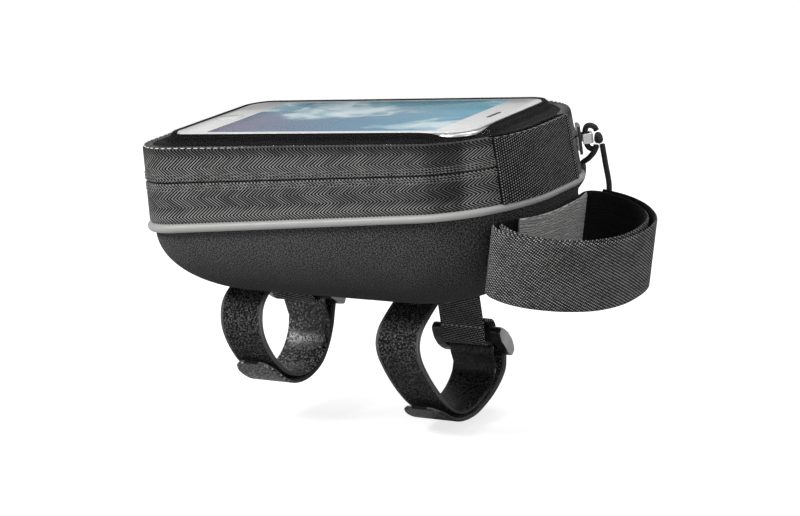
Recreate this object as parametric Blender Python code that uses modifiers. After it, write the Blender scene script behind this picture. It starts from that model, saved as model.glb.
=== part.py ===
"""Top tube phone bag for a bicycle, with a phone under its window, at real size.

Frame: metres, +X forward to the stem, +Y to the far side, +Z up. The origin is the middle
of the flat seat under the bag, which rests on the bicycle's top tube.

The band is the upright wall of zip tapes and webbing between the window and the moulded
shell. It is pitched nose-up over the seat, so it has its own frame, with its origin on the
rim above the seat's middle. Its outline is described by the direction that the wall faces:
0 degrees is the front, 90 the far side, 180 the rear and 270 the near side.
"""

import math
from dataclasses import dataclass
from typing import Callable, Sequence

import bmesh
import bpy
from mathutils import Matrix, Vector

MM = 0.001

# Band outline at the rim
BAND_REAR = 85.0 * MM
BAND_FRONT = 81.5 * MM
BAND_HALF_WIDTH = 45.0 * MM
REAR_CORNER = 19.0 * MM
FRONT_CORNER = 37.0 * MM

# Band heights, measured square to the zip line, over the seat's middle
BAND_PITCH = math.radians(4.6)
RIM_HEIGHT = 63.2 * MM
ZIP_DROP = 12.3 * MM
TAPE_DROP = 26.2 * MM
RIM_FALL = math.radians(1.2)
TAPE_RISE = math.radians(0.8)
FLARE_ANGLE = math.radians(3.0)

# Zip
TAPE_THICKNESS = 1.0 * MM
TAPE_TURN_IN = 4.0 * MM
ZIP_PARTING = 1.2 * MM
COIL_THICKNESS = 1.5 * MM
COIL_HEIGHT = 1.4 * MM
NEAR_SEAM = -39.0
FAR_SEAM = 9.0

# Front webbing, on which the lid folds
WEBBING_THICKNESS = 1.7 * MM
WEBBING_PROUD = 0.9 * MM
FOLD_DROP = ZIP_DROP - 6.0 * MM

# Piping and moulded shell
PIPING_RADIUS = 2.15 * MM
PIPING_PROUD = 1.1 * MM
SHELL_WALL = 3.0 * MM
SHELL_SETBACK = 2.0 * MM
SEAT_REAR = 47.0 * MM
SEAT_FRONT = 45.0 * MM
SEAT_HALF_WIDTH = 26.0 * MM
SEAT_CORNER = 16.0 * MM
CHANNEL_DEPTH = 0.8 * MM

# Phone and window
PHONE_LENGTH = 138.0 * MM
PHONE_WIDTH = 67.0 * MM
PHONE_THICKNESS = 7.0 * MM
PHONE_CORNER = 9.5 * MM
PHONE_CENTRE_X = -3.3 * MM
PHONE_TOP = 3.2 * MM
PHONE_PITCH = math.radians(1.5)
GLASS_THICKNESS = 0.8 * MM
GLASS_INSET = 1.1 * MM
FILM_THICKNESS = 0.5 * MM
FILM_EDGE = 0.8 * MM
FLOOR_THICKNESS = 1.2 * MM
FLOOR_SETBACK = 6.4 * MM

# Zip slider, on the far front corner
SLIDER_ANGLE = 32.0
SLIDER_LENGTH = 11.0 * MM
SLIDER_STAND_OFF = 1.0 * MM
PLATE_THICKNESS = 1.1 * MM
PLATE_HEIGHT = 11.0 * MM
PLATE_DROP = 1.9 * MM
NECK_THICKNESS = 0.5 * MM
INNER_PLATE_HEIGHT = 4.4 * MM
INNER_PLATE_GAP = 1.0 * MM
BRIDGE_LENGTH = 7.6 * MM
BRIDGE_REACH = 4.1 * MM
BRIDGE_STRIP = 1.0 * MM
BRIDGE_WIDTH = 3.9 * MM

# Pull cord
CORD_RADIUS = 1.1 * MM
KNOT_RADIUS = 2.4 * MM
KNOT_DEPTH = 1.9 * MM
KNOT_DROP = 0.8 * MM
EYE_STEP = 1.2 * MM
LOOP_STEP = 2.6 * MM

# Head tube strap, sewn to the front of the shell
HEAD_STRAP_PITCH = math.radians(10.0)
HEAD_STRAP_TOP = RIM_HEIGHT - 27.2 * MM
HEAD_STRAP_WIDTH = 27.0 * MM
HEAD_STRAP_THICKNESS = 1.4 * MM
KEEPER_THICKNESS = 1.2 * MM
KEEPER_HEIGHT = 23.0 * MM
KEEPER_RAISE = 3.0 * MM
HEAD_STRAP_STEP = 4.5 * MM

# Tube straps, rings and tabs
STRAP_WIDTH = 20.0 * MM
STRAP_THICKNESS = 1.3 * MM
STRAP_TIP = 9.0 * MM
TIP_SHARE = 0.35
STRAP_STEP = 3.0 * MM
REAR_STRAP_X = -45.8 * MM
FRONT_STRAP_X = 24.0 * MM
RING_LENGTH = 32.0 * MM
RING_HEIGHT = 15.8 * MM
RING_THICKNESS = 5.8 * MM
RING_BAR = 5.2 * MM
RING_CORNER = 1.2 * MM
SLOT_CORNER = 1.6 * MM
WRAP_ASIDE = 5.1 * MM
WRAP_ALONG = 4.25 * MM
WRAP_STEPS = 12
TAB_NECK = 2.6 * MM
TAB_BEND = 4.0 * MM
TAB_BEND_DROP = 1.0 * MM
TAB_LEVEL = 5.0 * MM
TAB_STEP = 2.5 * MM

CLEARANCE = 0.3 * MM
LAYER_GAP = 0.39 * MM
CORNER_STEP = 9.0
FULL_TURN = (0.0, 360.0)

Height = float | Callable[[float], float]


@dataclass(frozen=True)
class Outline:
    """A rounded rectangle seen from above, with one corner radius at each end."""

    front: float
    rear: float
    half_width: float
    front_radius: float
    rear_radius: float

    def inset(self, distance: float) -> "Outline":
        """The same outline moved inward by a distance, or outward by a negative one."""
        return Outline(
            self.front - distance,
            self.rear - distance,
            self.half_width - distance,
            self.front_radius - distance,
            self.rear_radius - distance,
        )

    def mix(self, other: "Outline", share: float) -> "Outline":
        """An outline part of the way from this one to another."""
        return Outline(
            self.front + (other.front - self.front) * share,
            self.rear + (other.rear - self.rear) * share,
            self.half_width + (other.half_width - self.half_width) * share,
            self.front_radius + (other.front_radius - self.front_radius) * share,
            self.rear_radius + (other.rear_radius - self.rear_radius) * share,
        )

    def corner(self, quarter: int) -> tuple[float, float, float]:
        """Centre and radius of a corner: 0 far front, 1 far rear, 2 near rear, 3 near front."""
        side = 1.0 if quarter in (0, 1) else -1.0
        if quarter in (0, 3):
            return self.front - self.front_radius, side * (self.half_width - self.front_radius), self.front_radius
        return self.rear_radius - self.rear, side * (self.half_width - self.rear_radius), self.rear_radius

    def point(self, angle: float, quarter: int) -> tuple[float, float]:
        """The point of a corner where the wall faces an angle."""
        x, y, radius = self.corner(quarter)
        turn = math.radians(angle)
        return x + radius * math.cos(turn), y + radius * math.sin(turn)


def stations(turn: tuple[float, float]) -> list[tuple[float, int]]:
    """Angles and corners that follow an outline from one angle to another."""
    first, last = turn
    found = []
    for block in range(math.floor(first / 90.0), math.ceil(last / 90.0)):
        low = max(first, 90.0 * block)
        high = min(last, 90.0 * (block + 1))
        steps = max(1, math.ceil((high - low) / CORNER_STEP - 1e-6))
        found += [(low + (high - low) * step / steps, block % 4) for step in range(steps + 1)]
    return found


def ring(outline: Outline, height: Height, turn: tuple[float, float] = FULL_TURN) -> list[Vector]:
    """Points along an outline, each at a height that may depend on its x."""
    points = []
    for angle, quarter in stations(turn):
        x, y = outline.point(angle, quarter)
        points.append(Vector((x, y, height(x) if callable(height) else height)))
    return points


def smooth(points: Sequence[tuple[float, ...]], spacing: float) -> list[Vector]:
    """A smooth curve through points given in millimetres, sampled at a spacing."""
    known = [Vector(point) * MM for point in points]
    ends = [2 * known[0] - known[1]] + known + [2 * known[-1] - known[-2]]
    curve = []
    for before, start, end, after in zip(ends, ends[1:], ends[2:], ends[3:]):
        count = max(2, round((end - start).length / spacing))
        for step in range(count):
            t = step / count
            curve.append(
                0.5 * (2 * start + (end - before) * t
                       + (2 * before - 5 * start + 4 * end - after) * t ** 2
                       + (3 * start - before - 3 * end + after) * t ** 3)
            )
    return curve + [known[-1]]


class PartBuilder:
    """Makes the named pieces and keeps each in the frame that carries it."""

    def __init__(self) -> None:
        self.collection = bpy.context.scene.collection
        self.frame: bpy.types.Object | None = None
        self.frame_origin = Vector((0.0, 0.0, 0.0))

    def use_frame(self, name: str, base: Matrix, origin: Vector) -> None:
        """Carry the pieces that follow on an empty, at a point of a base frame."""
        empty = bpy.data.objects.new(name, None)
        empty.matrix_world = base @ Matrix.Translation(origin)
        self.collection.objects.link(empty)
        self.frame = empty
        self.frame_origin = origin

    def add(self, obj: bpy.types.Object, material: bpy.types.Material) -> bpy.types.Object:
        """Give a piece its material and its place in the frame in use."""
        obj.data.materials.append(material)
        if obj.name not in self.collection.objects:
            self.collection.objects.link(obj)
        obj.parent = self.frame
        obj.location = obj.location - self.frame_origin
        return obj

    def loft(
        self,
        name: str,
        rings: Sequence[Sequence[Vector]],
        material: bpy.types.Material,
        caps: Sequence[int] = (),
        around: bool = True,
    ) -> bpy.types.Object:
        """Join rings of points into one surface.

        With no caps the last ring joins the first, as in a band or a hoop. Otherwise the
        rings that are named get a cap. A loft that does not go all the way around is closed
        at both ends of its rings.
        """
        mesh = bmesh.new()
        grid = [[mesh.verts.new(point) for point in points] for points in rings]
        rows = len(grid)
        columns = len(grid[0])
        for row in range(rows - 1 if caps else rows):
            here, there = grid[row], grid[(row + 1) % rows]
            for column in range(columns if around else columns - 1):
                after = (column + 1) % columns
                mesh.faces.new((here[column], here[after], there[after], there[column]))
        for row in caps:
            mesh.faces.new(grid[row])
        if not around:
            mesh.faces.new([row[0] for row in grid])
            mesh.faces.new([row[-1] for row in grid])
        return self.finish(name, mesh, material)

    def finish(self, name: str, mesh: bmesh.types.BMesh, material: bpy.types.Material) -> bpy.types.Object:
        """Weld a mesh, turn its faces outward and make it an object."""
        bmesh.ops.remove_doubles(mesh, verts=mesh.verts, dist=1e-6)
        bmesh.ops.recalc_face_normals(mesh, faces=mesh.faces)
        data = bpy.data.meshes.new(name)
        mesh.to_mesh(data)
        mesh.free()
        return self.add(bpy.data.objects.new(name, data), material)

    def cord(
        self, name: str, points: Sequence[Vector], material: bpy.types.Material
    ) -> bpy.types.Object:
        """A round cord along points, with its ends filled."""
        data = bpy.data.curves.new(name, "CURVE")
        data.dimensions = "3D"
        data.bevel_depth = CORD_RADIUS
        data.bevel_resolution = 2
        data.use_fill_caps = True
        spline = data.splines.new("POLY")
        spline.points.add(len(points) - 1)
        for target, point in zip(spline.points, points):
            target.co = (*point, 1.0)
        return self.add(bpy.data.objects.new(name, data), material)


def material(name: str, colour: tuple[float, float, float], roughness: float, metallic: float = 0.0,
             alpha: float = 1.0) -> bpy.types.Material:
    """A plain material."""
    made = bpy.data.materials.new(name)
    made.use_nodes = True
    shader = made.node_tree.nodes["Principled BSDF"]
    shader.inputs["Base Color"].default_value = (*colour, 1.0)
    shader.inputs["Roughness"].default_value = roughness
    shader.inputs["Metallic"].default_value = metallic
    shader.inputs["Alpha"].default_value = alpha
    return made


def clear_scene() -> None:
    """Remove what the scene starts with."""
    for obj in list(bpy.data.objects):
        bpy.data.objects.remove(obj, do_unlink=True)


BAND_FRAME = Matrix.Translation((0.0, 0.0, RIM_HEIGHT)) @ Matrix.Rotation(-BAND_PITCH, 4, "Y")
RIM = Outline(BAND_FRONT, BAND_REAR, BAND_HALF_WIDTH, FRONT_CORNER, REAR_CORNER)
PHONE = Outline(
    PHONE_LENGTH / 2 + PHONE_CENTRE_X,
    PHONE_LENGTH / 2 - PHONE_CENTRE_X,
    PHONE_WIDTH / 2,
    PHONE_CORNER,
    PHONE_CORNER,
)
PIPING_HEIGHT = -(TAPE_DROP + CLEARANCE + PIPING_RADIUS)
SHELL_TOP = PIPING_HEIGHT - PIPING_RADIUS - CLEARANCE
FOLD_LINE = Vector((BAND_FRONT + WEBBING_PROUD + FOLD_DROP * math.tan(FLARE_ANGLE), 0.0, -FOLD_DROP))
ZIP_SPAN = (FAR_SEAM, 360.0 + NEAR_SEAM)


def band(inset: float, height: float) -> Outline:
    """The band's outline at a height, inside its outer face by an inset."""
    return RIM.inset(inset + height * math.tan(FLARE_ANGLE))


def band_level(height: float) -> Callable[[float], float]:
    """The level that a height over the seat's middle has along the band.

    The zip line is straight and level in the band's frame. Towards the front the rim falls
    to meet it, and the lower edge rises to it.
    """
    if height > -ZIP_DROP:
        slope = -math.tan(RIM_FALL) * (1.0 + height / ZIP_DROP)
    else:
        slope = -math.tan(TAPE_RISE) * (height + ZIP_DROP) / (TAPE_DROP - ZIP_DROP)
    return lambda x: height + slope * x


def band_ring(inset: float, height: float, turn: tuple[float, float] = FULL_TURN) -> list[Vector]:
    """A ring of the band at an inset and a height over the seat's middle."""
    return ring(band(inset, height), band_level(height), turn)


def phone_level(offset: float) -> Callable[[float], float]:
    """A plane parallel to the phone's face, at an offset above it."""
    return lambda x: PHONE_TOP + offset - (x - PHONE_CENTRE_X) * math.tan(PHONE_PITCH)


def between(low: Callable[[float], float], high: Callable[[float], float], share: float,
            offset: float) -> Callable[[float], float]:
    """A level part of the way from one level to another, raised by an offset."""
    return lambda x: low(x) + (high(x) - low(x)) * share + offset


def build_shell(parts: PartBuilder, fabric: bpy.types.Material) -> None:
    """The moulded tub, open at its top, with the flat seat under it."""
    top = [BAND_FRAME @ point for point in band_ring(SHELL_SETBACK, SHELL_TOP)]
    seat = Outline(SEAT_FRONT, SEAT_REAR, SEAT_HALF_WIDTH, SEAT_CORNER, SEAT_CORNER)
    bottom = ring(seat, 0.0)
    rings = []
    for degrees in (0, 15, 30, 45, 60, 75, 90):
        inward = 1.0 - math.cos(math.radians(degrees))
        down = math.sin(math.radians(degrees))
        rings.append([
            Vector((*high.xy.lerp(low.xy, inward), high.z + (low.z - high.z) * down))
            for high, low in zip(top, bottom)
        ])
    shell = parts.loft("shell", rings, fabric, caps=(-1,))
    wall = shell.modifiers.new("wall", "SOLIDIFY")
    wall.thickness = SHELL_WALL
    wall.offset = -1.0
    wall.use_even_offset = True
    for x in (REAR_STRAP_X, FRONT_STRAP_X):
        cut_channel(shell, x)


def cut_channel(shell: bpy.types.Object, x: float) -> None:
    """A shallow channel across the underside, where a tube strap is sewn."""
    size = (STRAP_WIDTH + 2 * CLEARANCE, 2 * BAND_HALF_WIDTH, 2 * CHANNEL_DEPTH)
    mesh = bmesh.new()
    shape = Matrix.Translation((x, 0.0, 0.0)) @ Matrix.Diagonal((*size, 1.0))
    bmesh.ops.create_cube(mesh, size=1.0, matrix=shape)
    data = bpy.data.meshes.new("channel")
    mesh.to_mesh(data)
    mesh.free()
    cutter = bpy.data.objects.new("channel", data)
    cutter.hide_render = True
    cutter.display_type = "WIRE"
    cutters = bpy.data.collections.get("cutters") or bpy.data.collections.new("cutters")
    if cutters.name not in bpy.context.scene.collection.children:
        bpy.context.scene.collection.children.link(cutters)
    cutters.objects.link(cutter)
    cut = shell.modifiers.new("channel", "BOOLEAN")
    cut.operation = "DIFFERENCE"
    cut.solver = "EXACT"
    cut.object = cutter


def build_band(parts: PartBuilder, tape: bpy.types.Material, coil: bpy.types.Material,
               webbing: bpy.types.Material, reflective: bpy.types.Material) -> None:
    """The fixed half of the band: lower tape, coil, webbing and piping."""
    top = -(ZIP_DROP + ZIP_PARTING / 2)
    section = [(0.0, top), (0.0, -TAPE_DROP), (TAPE_THICKNESS, -TAPE_DROP), (TAPE_THICKNESS, top)]
    parts.loft("lower_zip_tape", [band_ring(*at, ZIP_SPAN) for at in section], tape, around=False)
    inner = TAPE_THICKNESS + CLEARANCE
    section = [(inner, top), (inner, top - COIL_HEIGHT),
               (inner + COIL_THICKNESS, top - COIL_HEIGHT), (inner + COIL_THICKNESS, top)]
    parts.loft("lower_zip_coil", [band_ring(*at, ZIP_SPAN) for at in section], coil, around=False)
    build_webbing(parts, "lower_front_webbing", -(FOLD_DROP + CLEARANCE / 2), -TAPE_DROP, webbing)
    centre = PIPING_RADIUS - PIPING_PROUD
    section = [
        (centre - PIPING_RADIUS * math.cos(turn), PIPING_HEIGHT + PIPING_RADIUS * math.sin(turn))
        for turn in (math.tau * step / 12 for step in range(12))
    ]
    parts.loft("piping", [band_ring(*at) for at in section], reflective)


def build_webbing(parts: PartBuilder, name: str, top: float, bottom: float,
                  webbing: bpy.types.Material) -> None:
    """One side of the fold in the webbing that closes the front of the band."""
    margin = math.degrees(CLEARANCE / FRONT_CORNER)
    across = (NEAR_SEAM + margin, FAR_SEAM - margin)
    outer, inner = -WEBBING_PROUD, WEBBING_THICKNESS - WEBBING_PROUD
    section = [(outer, top), (outer, bottom), (inner, bottom), (inner, top)]
    parts.loft(name, [band_ring(*at, across) for at in section], webbing, around=False)


def build_lid(parts: PartBuilder, tape: bpy.types.Material, coil: bpy.types.Material,
              webbing: bpy.types.Material, film: bpy.types.Material, padding: bpy.types.Material) -> None:
    """The lid: upper tape, coil and webbing, and the pocket that shows the phone."""
    bottom = -(ZIP_DROP - ZIP_PARTING / 2)
    round_over = TAPE_THICKNESS
    section = [
        (0.0, bottom), (0.0, -round_over), (0.3 * round_over, -0.3 * round_over), (round_over, 0.0),
        (TAPE_TURN_IN, 0.0), (TAPE_TURN_IN, -TAPE_THICKNESS),
        (TAPE_THICKNESS, -TAPE_THICKNESS), (TAPE_THICKNESS, bottom),
    ]
    parts.loft("upper_zip_tape", [band_ring(*at, ZIP_SPAN) for at in section], tape, around=False)
    inner = TAPE_THICKNESS + CLEARANCE
    section = [(inner, bottom), (inner, bottom + COIL_HEIGHT),
               (inner + COIL_THICKNESS, bottom + COIL_HEIGHT), (inner + COIL_THICKNESS, bottom)]
    parts.loft("upper_zip_coil", [band_ring(*at, ZIP_SPAN) for at in section], coil, around=False)
    build_webbing(parts, "upper_front_webbing", 0.0, -(FOLD_DROP - CLEARANCE / 2), webbing)
    build_window(parts, film)
    build_pocket(parts, padding)


def build_window(parts: PartBuilder, film: bpy.types.Material) -> None:
    """The clear film, sewn to the rim, that rises over the phone."""
    edge = band(FILM_EDGE, 0.0)
    over_phone = PHONE.inset(-2 * CLEARANCE)
    rings = []
    for along, rise in ((0.0, 0.0), (0.22, 0.0), (0.5, 0.22), (0.75, 0.66), (0.92, 0.95), (1.0, 1.0)):
        level = between(band_level(0.0), phone_level(0.0), rise, CLEARANCE + FILM_THICKNESS)
        rings.append(ring(edge.mix(over_phone, along), level))
    sheet = parts.loft("window_film", rings, film, caps=(-1,))
    skin = sheet.modifiers.new("thickness", "SOLIDIFY")
    skin.thickness = FILM_THICKNESS
    skin.offset = -1.0


def build_pocket(parts: PartBuilder, padding: bpy.types.Material) -> None:
    """The padded surround and the floor that hold the phone under the film."""
    floor_top = -(PHONE_THICKNESS + CLEARANCE)
    outer = band(TAPE_THICKNESS + CLEARANCE, 0.0)
    step = band(TAPE_TURN_IN + CLEARANCE, 0.0)
    inner = PHONE.inset(-CLEARANCE)
    below_turn_in = band_level(-(TAPE_THICKNESS + CLEARANCE))
    rings = [
        ring(outer, phone_level(floor_top + CLEARANCE)),
        ring(outer, below_turn_in),
        ring(step, below_turn_in),
        ring(step, band_level(0.0)),
        ring(step.mix(inner, 0.4), between(band_level(0.0), phone_level(0.0), 0.2, 0.0)),
        ring(inner, phone_level(-PHONE_THICKNESS / 4)),
        ring(inner, phone_level(floor_top + CLEARANCE)),
    ]
    parts.loft("window_surround", rings, padding)
    floor = band(FLOOR_SETBACK, 0.0)
    rings = [ring(floor, phone_level(floor_top)), ring(floor, phone_level(floor_top - FLOOR_THICKNESS))]
    parts.loft("phone_pocket_floor", rings, padding, caps=(0, -1))


def build_phone(parts: PartBuilder, case: bpy.types.Material, glass: bpy.types.Material) -> None:
    """A plain phone of ordinary size, face up in the pocket."""
    edge = PHONE_THICKNESS / 6
    face = -(GLASS_THICKNESS / 2 + CLEARANCE)
    body = [
        (edge, -PHONE_THICKNESS), (0.3 * edge, 0.7 * edge - PHONE_THICKNESS),
        (0.0, 2 * edge - PHONE_THICKNESS), (0.0, face - edge), (0.3 * edge, face - 0.3 * edge),
        (edge, face),
    ]
    parts.loft("phone_body", [ring(PHONE.inset(inset), phone_level(at)) for inset, at in body],
               case, caps=(0, -1))
    pane = PHONE.inset(GLASS_INSET)
    levels = (face + CLEARANCE, face + CLEARANCE + GLASS_THICKNESS / 2)
    parts.loft("phone_screen", [ring(pane, phone_level(at)) for at in levels], glass, caps=(0, -1))


def slider_point(outward: float, sideways: float, height: float) -> Vector:
    """A point near the slider: outward of the tape, along the zip, and above the zip line."""
    x, y, radius = band(0.0, -ZIP_DROP).corner(0)
    turn = math.radians(SLIDER_ANGLE)
    away = Vector((math.cos(turn), math.sin(turn), 0.0))
    along = Vector((-math.sin(turn), math.cos(turn), 0.0))
    return Vector((x, y, height - ZIP_DROP)) + away * (radius + outward) + along * sideways


def build_slider(parts: PartBuilder, enamel: bpy.types.Material, chrome: bpy.types.Material) -> None:
    """The slider, whose plates lie either side of the closed tapes, and its bridge."""
    half = math.degrees(SLIDER_LENGTH / 2 / FRONT_CORNER)
    span = (SLIDER_ANGLE - half, SLIDER_ANGLE + half)
    outer = -(SLIDER_STAND_OFF + PLATE_THICKNESS)
    inner = TAPE_THICKNESS + CLEARANCE + COIL_THICKNESS + INNER_PLATE_GAP
    plate, neck, tongue = PLATE_HEIGHT / 2, NECK_THICKNESS / 2, INNER_PLATE_HEIGHT / 2
    section = [
        (outer, plate - PLATE_DROP), (-SLIDER_STAND_OFF, plate - PLATE_DROP), (-SLIDER_STAND_OFF, neck),
        (inner, neck), (inner, tongue), (inner + PLATE_THICKNESS, tongue),
        (inner + PLATE_THICKNESS, -tongue), (inner, -tongue), (inner, -neck),
        (-SLIDER_STAND_OFF, -neck), (-SLIDER_STAND_OFF, -plate - PLATE_DROP), (outer, -plate - PLATE_DROP),
    ]
    rings = [ring(band(inset, -ZIP_DROP), height - ZIP_DROP, span) for inset, height in section]
    parts.loft("zip_slider", rings, enamel, around=False)

    foot = SLIDER_STAND_OFF + PLATE_THICKNESS + CLEARANCE
    reach = foot + BRIDGE_REACH
    half_length = BRIDGE_LENGTH / 2
    bend = BRIDGE_STRIP
    outer_arch = [(foot, -half_length), (reach - bend, -half_length), (reach, -half_length + bend),
                  (reach, half_length - bend), (reach - bend, half_length), (foot, half_length)]
    hollow = half_length - BRIDGE_STRIP
    inner_arch = [(foot, hollow), (reach - BRIDGE_STRIP, hollow), (reach - BRIDGE_STRIP, -hollow),
                  (foot, -hollow)]
    arch = outer_arch + inner_arch
    edges = (-BRIDGE_WIDTH / 2, BRIDGE_WIDTH / 2)
    rings = [[slider_point(*at, height - PLATE_DROP) for at in arch] for height in edges]
    parts.loft("slider_bridge", rings, chrome, caps=(0, -1))


def hung(points: Sequence[tuple[float, float, float]], spacing: float) -> list[Vector]:
    """A smooth run of cord through points near the slider, in millimetres, over the bridge's middle."""
    return [slider_point(at.x, at.y, at.z - PLATE_DROP) for at in smooth(points, spacing)]


def build_pull(parts: PartBuilder, braid: bpy.types.Material) -> None:
    """The cord tied through the bridge, its knot, and the loop that hangs from it."""
    plate = (SLIDER_STAND_OFF + PLATE_THICKNESS) / MM
    knot_reach = SLIDER_STAND_OFF + PLATE_THICKNESS + BRIDGE_REACH + 2 * CLEARANCE + KNOT_DEPTH
    knot = knot_reach / MM
    eye = [(knot - 0.3, 1.2, 2.0), (knot - 0.9, 1.2, 3.4), (knot - 2.4, 1.2, 4.3), (plate + 2.7, 1.2, 4.1),
           (plate + 1.9, 1.2, 2.6), (plate + 1.75, 1.2, 0.0), (plate + 1.9, 1.2, -2.6), (plate + 2.7, 1.2, -4.3),
           (knot - 2.4, 1.2, -5.0), (knot - 1.4, 1.2, -4.4), (knot - 1.1, 1.2, -3.5)]
    parts.cord("pull_cord_eye", hung(eye, EYE_STEP), braid)

    mesh = bmesh.new()
    shape = Matrix.Translation(slider_point(knot_reach, 0.0, -(PLATE_DROP + KNOT_DROP)))
    shape @= Matrix.Rotation(math.radians(SLIDER_ANGLE), 4, "Z")
    shape @= Matrix.Diagonal((KNOT_DEPTH, KNOT_RADIUS, KNOT_RADIUS, 1.0))
    bmesh.ops.create_uvsphere(mesh, u_segments=14, v_segments=8, radius=1.0, matrix=shape)
    parts.finish("pull_cord_knot", mesh, braid)

    loop = [(knot - 1.1, -1.4, -3.5), (knot - 2.5, -1.4, -5.8), (knot - 4.7, 1.0, -8.4), (knot - 6.8, 5.6, -10.6),
            (knot - 6.4, 11.0, -13.6), (knot - 7.2, 14.6, -18.2), (knot - 10.4, 15.8, -23.0), (knot - 8.8, 14.2, -28.0),
            (knot - 4.2, 10.8, -30.4), (knot + 0.6, 7.0, -27.8), (knot + 2.2, 4.2, -21.0), (knot + 1.6, 1.4, -11.0),
            (knot + 1.1, -0.2, -3.5)]
    parts.cord("pull_cord_loop", hung(loop, LOOP_STEP), braid)


def ribbon(parts: PartBuilder, name: str, path: Sequence[Vector], across: Vector, width: float,
           thickness: float, webbing: bpy.types.Material, widths: Sequence[float] | None = None) -> None:
    """A strap whose middle line follows a path, flat across one direction."""
    across = across.normalized()
    shares = widths or [1.0] * len(path)
    sides = [[], [], [], []]
    for index, (point, share) in enumerate(zip(path, shares)):
        run = path[min(index + 1, len(path) - 1)] - path[max(index - 1, 0)]
        normal = run.cross(across).normalized() * thickness / 2
        reach = across * width / 2 * share
        corners = (point + normal + reach, point + normal - reach, point - normal - reach, point - normal + reach)
        for side, corner in zip(sides, corners):
            side.append(corner)
    parts.loft(name, sides, webbing, around=False)


def tapered(path: Sequence[Vector], tip: float) -> list[float]:
    """Width shares that round off the last stretch of a strap."""
    left = 0.0
    shares = [TIP_SHARE]
    for here, after in zip(reversed(path[:-1]), reversed(path[1:])):
        left += (after - here).length
        fill = min(1.0, left / tip)
        shares.append(TIP_SHARE + (1.0 - TIP_SHARE) * math.sqrt(1.0 - (1.0 - fill) ** 2))
    return shares[::-1]


@dataclass(frozen=True)
class TubeStrap:
    """One strap round the top tube, seen from the front, in millimetres of (y, z)."""

    name: str
    x: float
    inner_run: tuple[tuple[float, float], ...]
    outer_run: tuple[tuple[float, float], ...]
    ring_centre: tuple[float, float]
    ring_lean: float
    leaving: float
    tab_root: float

    @property
    def centre(self) -> Vector:
        """Middle of the ring."""
        return Vector((self.x, self.ring_centre[0] * MM, self.ring_centre[1] * MM))

    @property
    def up(self) -> Vector:
        """From the ring's bottom bar to its top bar."""
        lean = math.radians(self.ring_lean)
        return Vector((0.0, -math.sin(lean), math.cos(lean)))

    @property
    def side(self) -> Vector:
        """Through the ring, away from the tube."""
        lean = math.radians(self.ring_lean)
        return Vector((0.0, math.cos(lean), math.sin(lean)))

    def bar(self, side: float) -> Vector:
        """Middle of the ring's top bar, for side 1, or of its bottom bar, for side -1."""
        return self.centre + self.up * (RING_HEIGHT - RING_BAR) / 2 * side

    def turn_about(self, bar: Vector, first: float, last: float) -> list[Vector]:
        """Webbing about a bar, from one angle to another, in degrees from the ring's far face."""
        turns = [math.radians(first + (last - first) * step / WRAP_STEPS) for step in range(WRAP_STEPS + 1)]
        return [bar + self.side * WRAP_ASIDE * math.cos(turn) + self.up * WRAP_ALONG * math.sin(turn)
                for turn in turns]


def lifted(points: Sequence[Vector], x: float) -> list[Vector]:
    """Flat (y, z) points in the plane of a strap."""
    return [Vector((x, point.x, point.y)) for point in points]


RING_PROFILE = ((-1.0, 0.43), (-0.8, 0.7), (-0.55, 0.93), (-0.25, 1.0),
                (0.25, 1.0), (0.55, 0.93), (0.8, 0.7), (1.0, 0.43))

STRAPS = (
    TubeStrap(
        "rear",
        REAR_STRAP_X,
        ((-8, -0.4), (-17, -0.4), (-23.5, -2.6), (-27.8, -6.6), (-29.3, -11.8), (-28.8, -17.2), (-26.2, -23),
         (-21.8, -29.3), (-16, -35.2), (-9, -39.4), (-1, -41.3), (7, -40.3), (14, -36.3), (18.6, -30.3), (20.2, -24)),
        ((24.2, -22.5), (22.4, -27.8), (18.4, -34.6), (12.5, -40.4), (4, -43.4), (-4, -43.6), (-11, -41.9),
         (-17, -38.4), (-22, -34), (-25, -31)),
        (17.75, -12.5),
        55.0,
        -65.0,
        -6.0,
    ),
    TubeStrap(
        "front",
        FRONT_STRAP_X,
        ((4, -0.4), (-3, -0.9), (-9.5, -3.8), (-17.5, -7.8), (-23.8, -11.9), (-26.6, -16.8), (-26, -22.2),
         (-22.8, -28), (-18, -34.6), (-11.6, -41.8), (-5, -47.7), (2, -51.8), (9.5, -53.2), (17.5, -52.3),
         (25, -49.6), (30.6, -45.2), (32.5, -41)),
        ((41.2, -40), (40, -44.6), (36, -48.4), (30, -51.8), (24, -54), (16, -55.9), (8.5, -56.1), (1, -54.9),
         (-4.5, -52.6), (-10, -49), (-13.5, -46.5)),
        (32.2, -30.5),
        38.0,
        -30.0,
        11.0,
    ),
)


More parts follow.
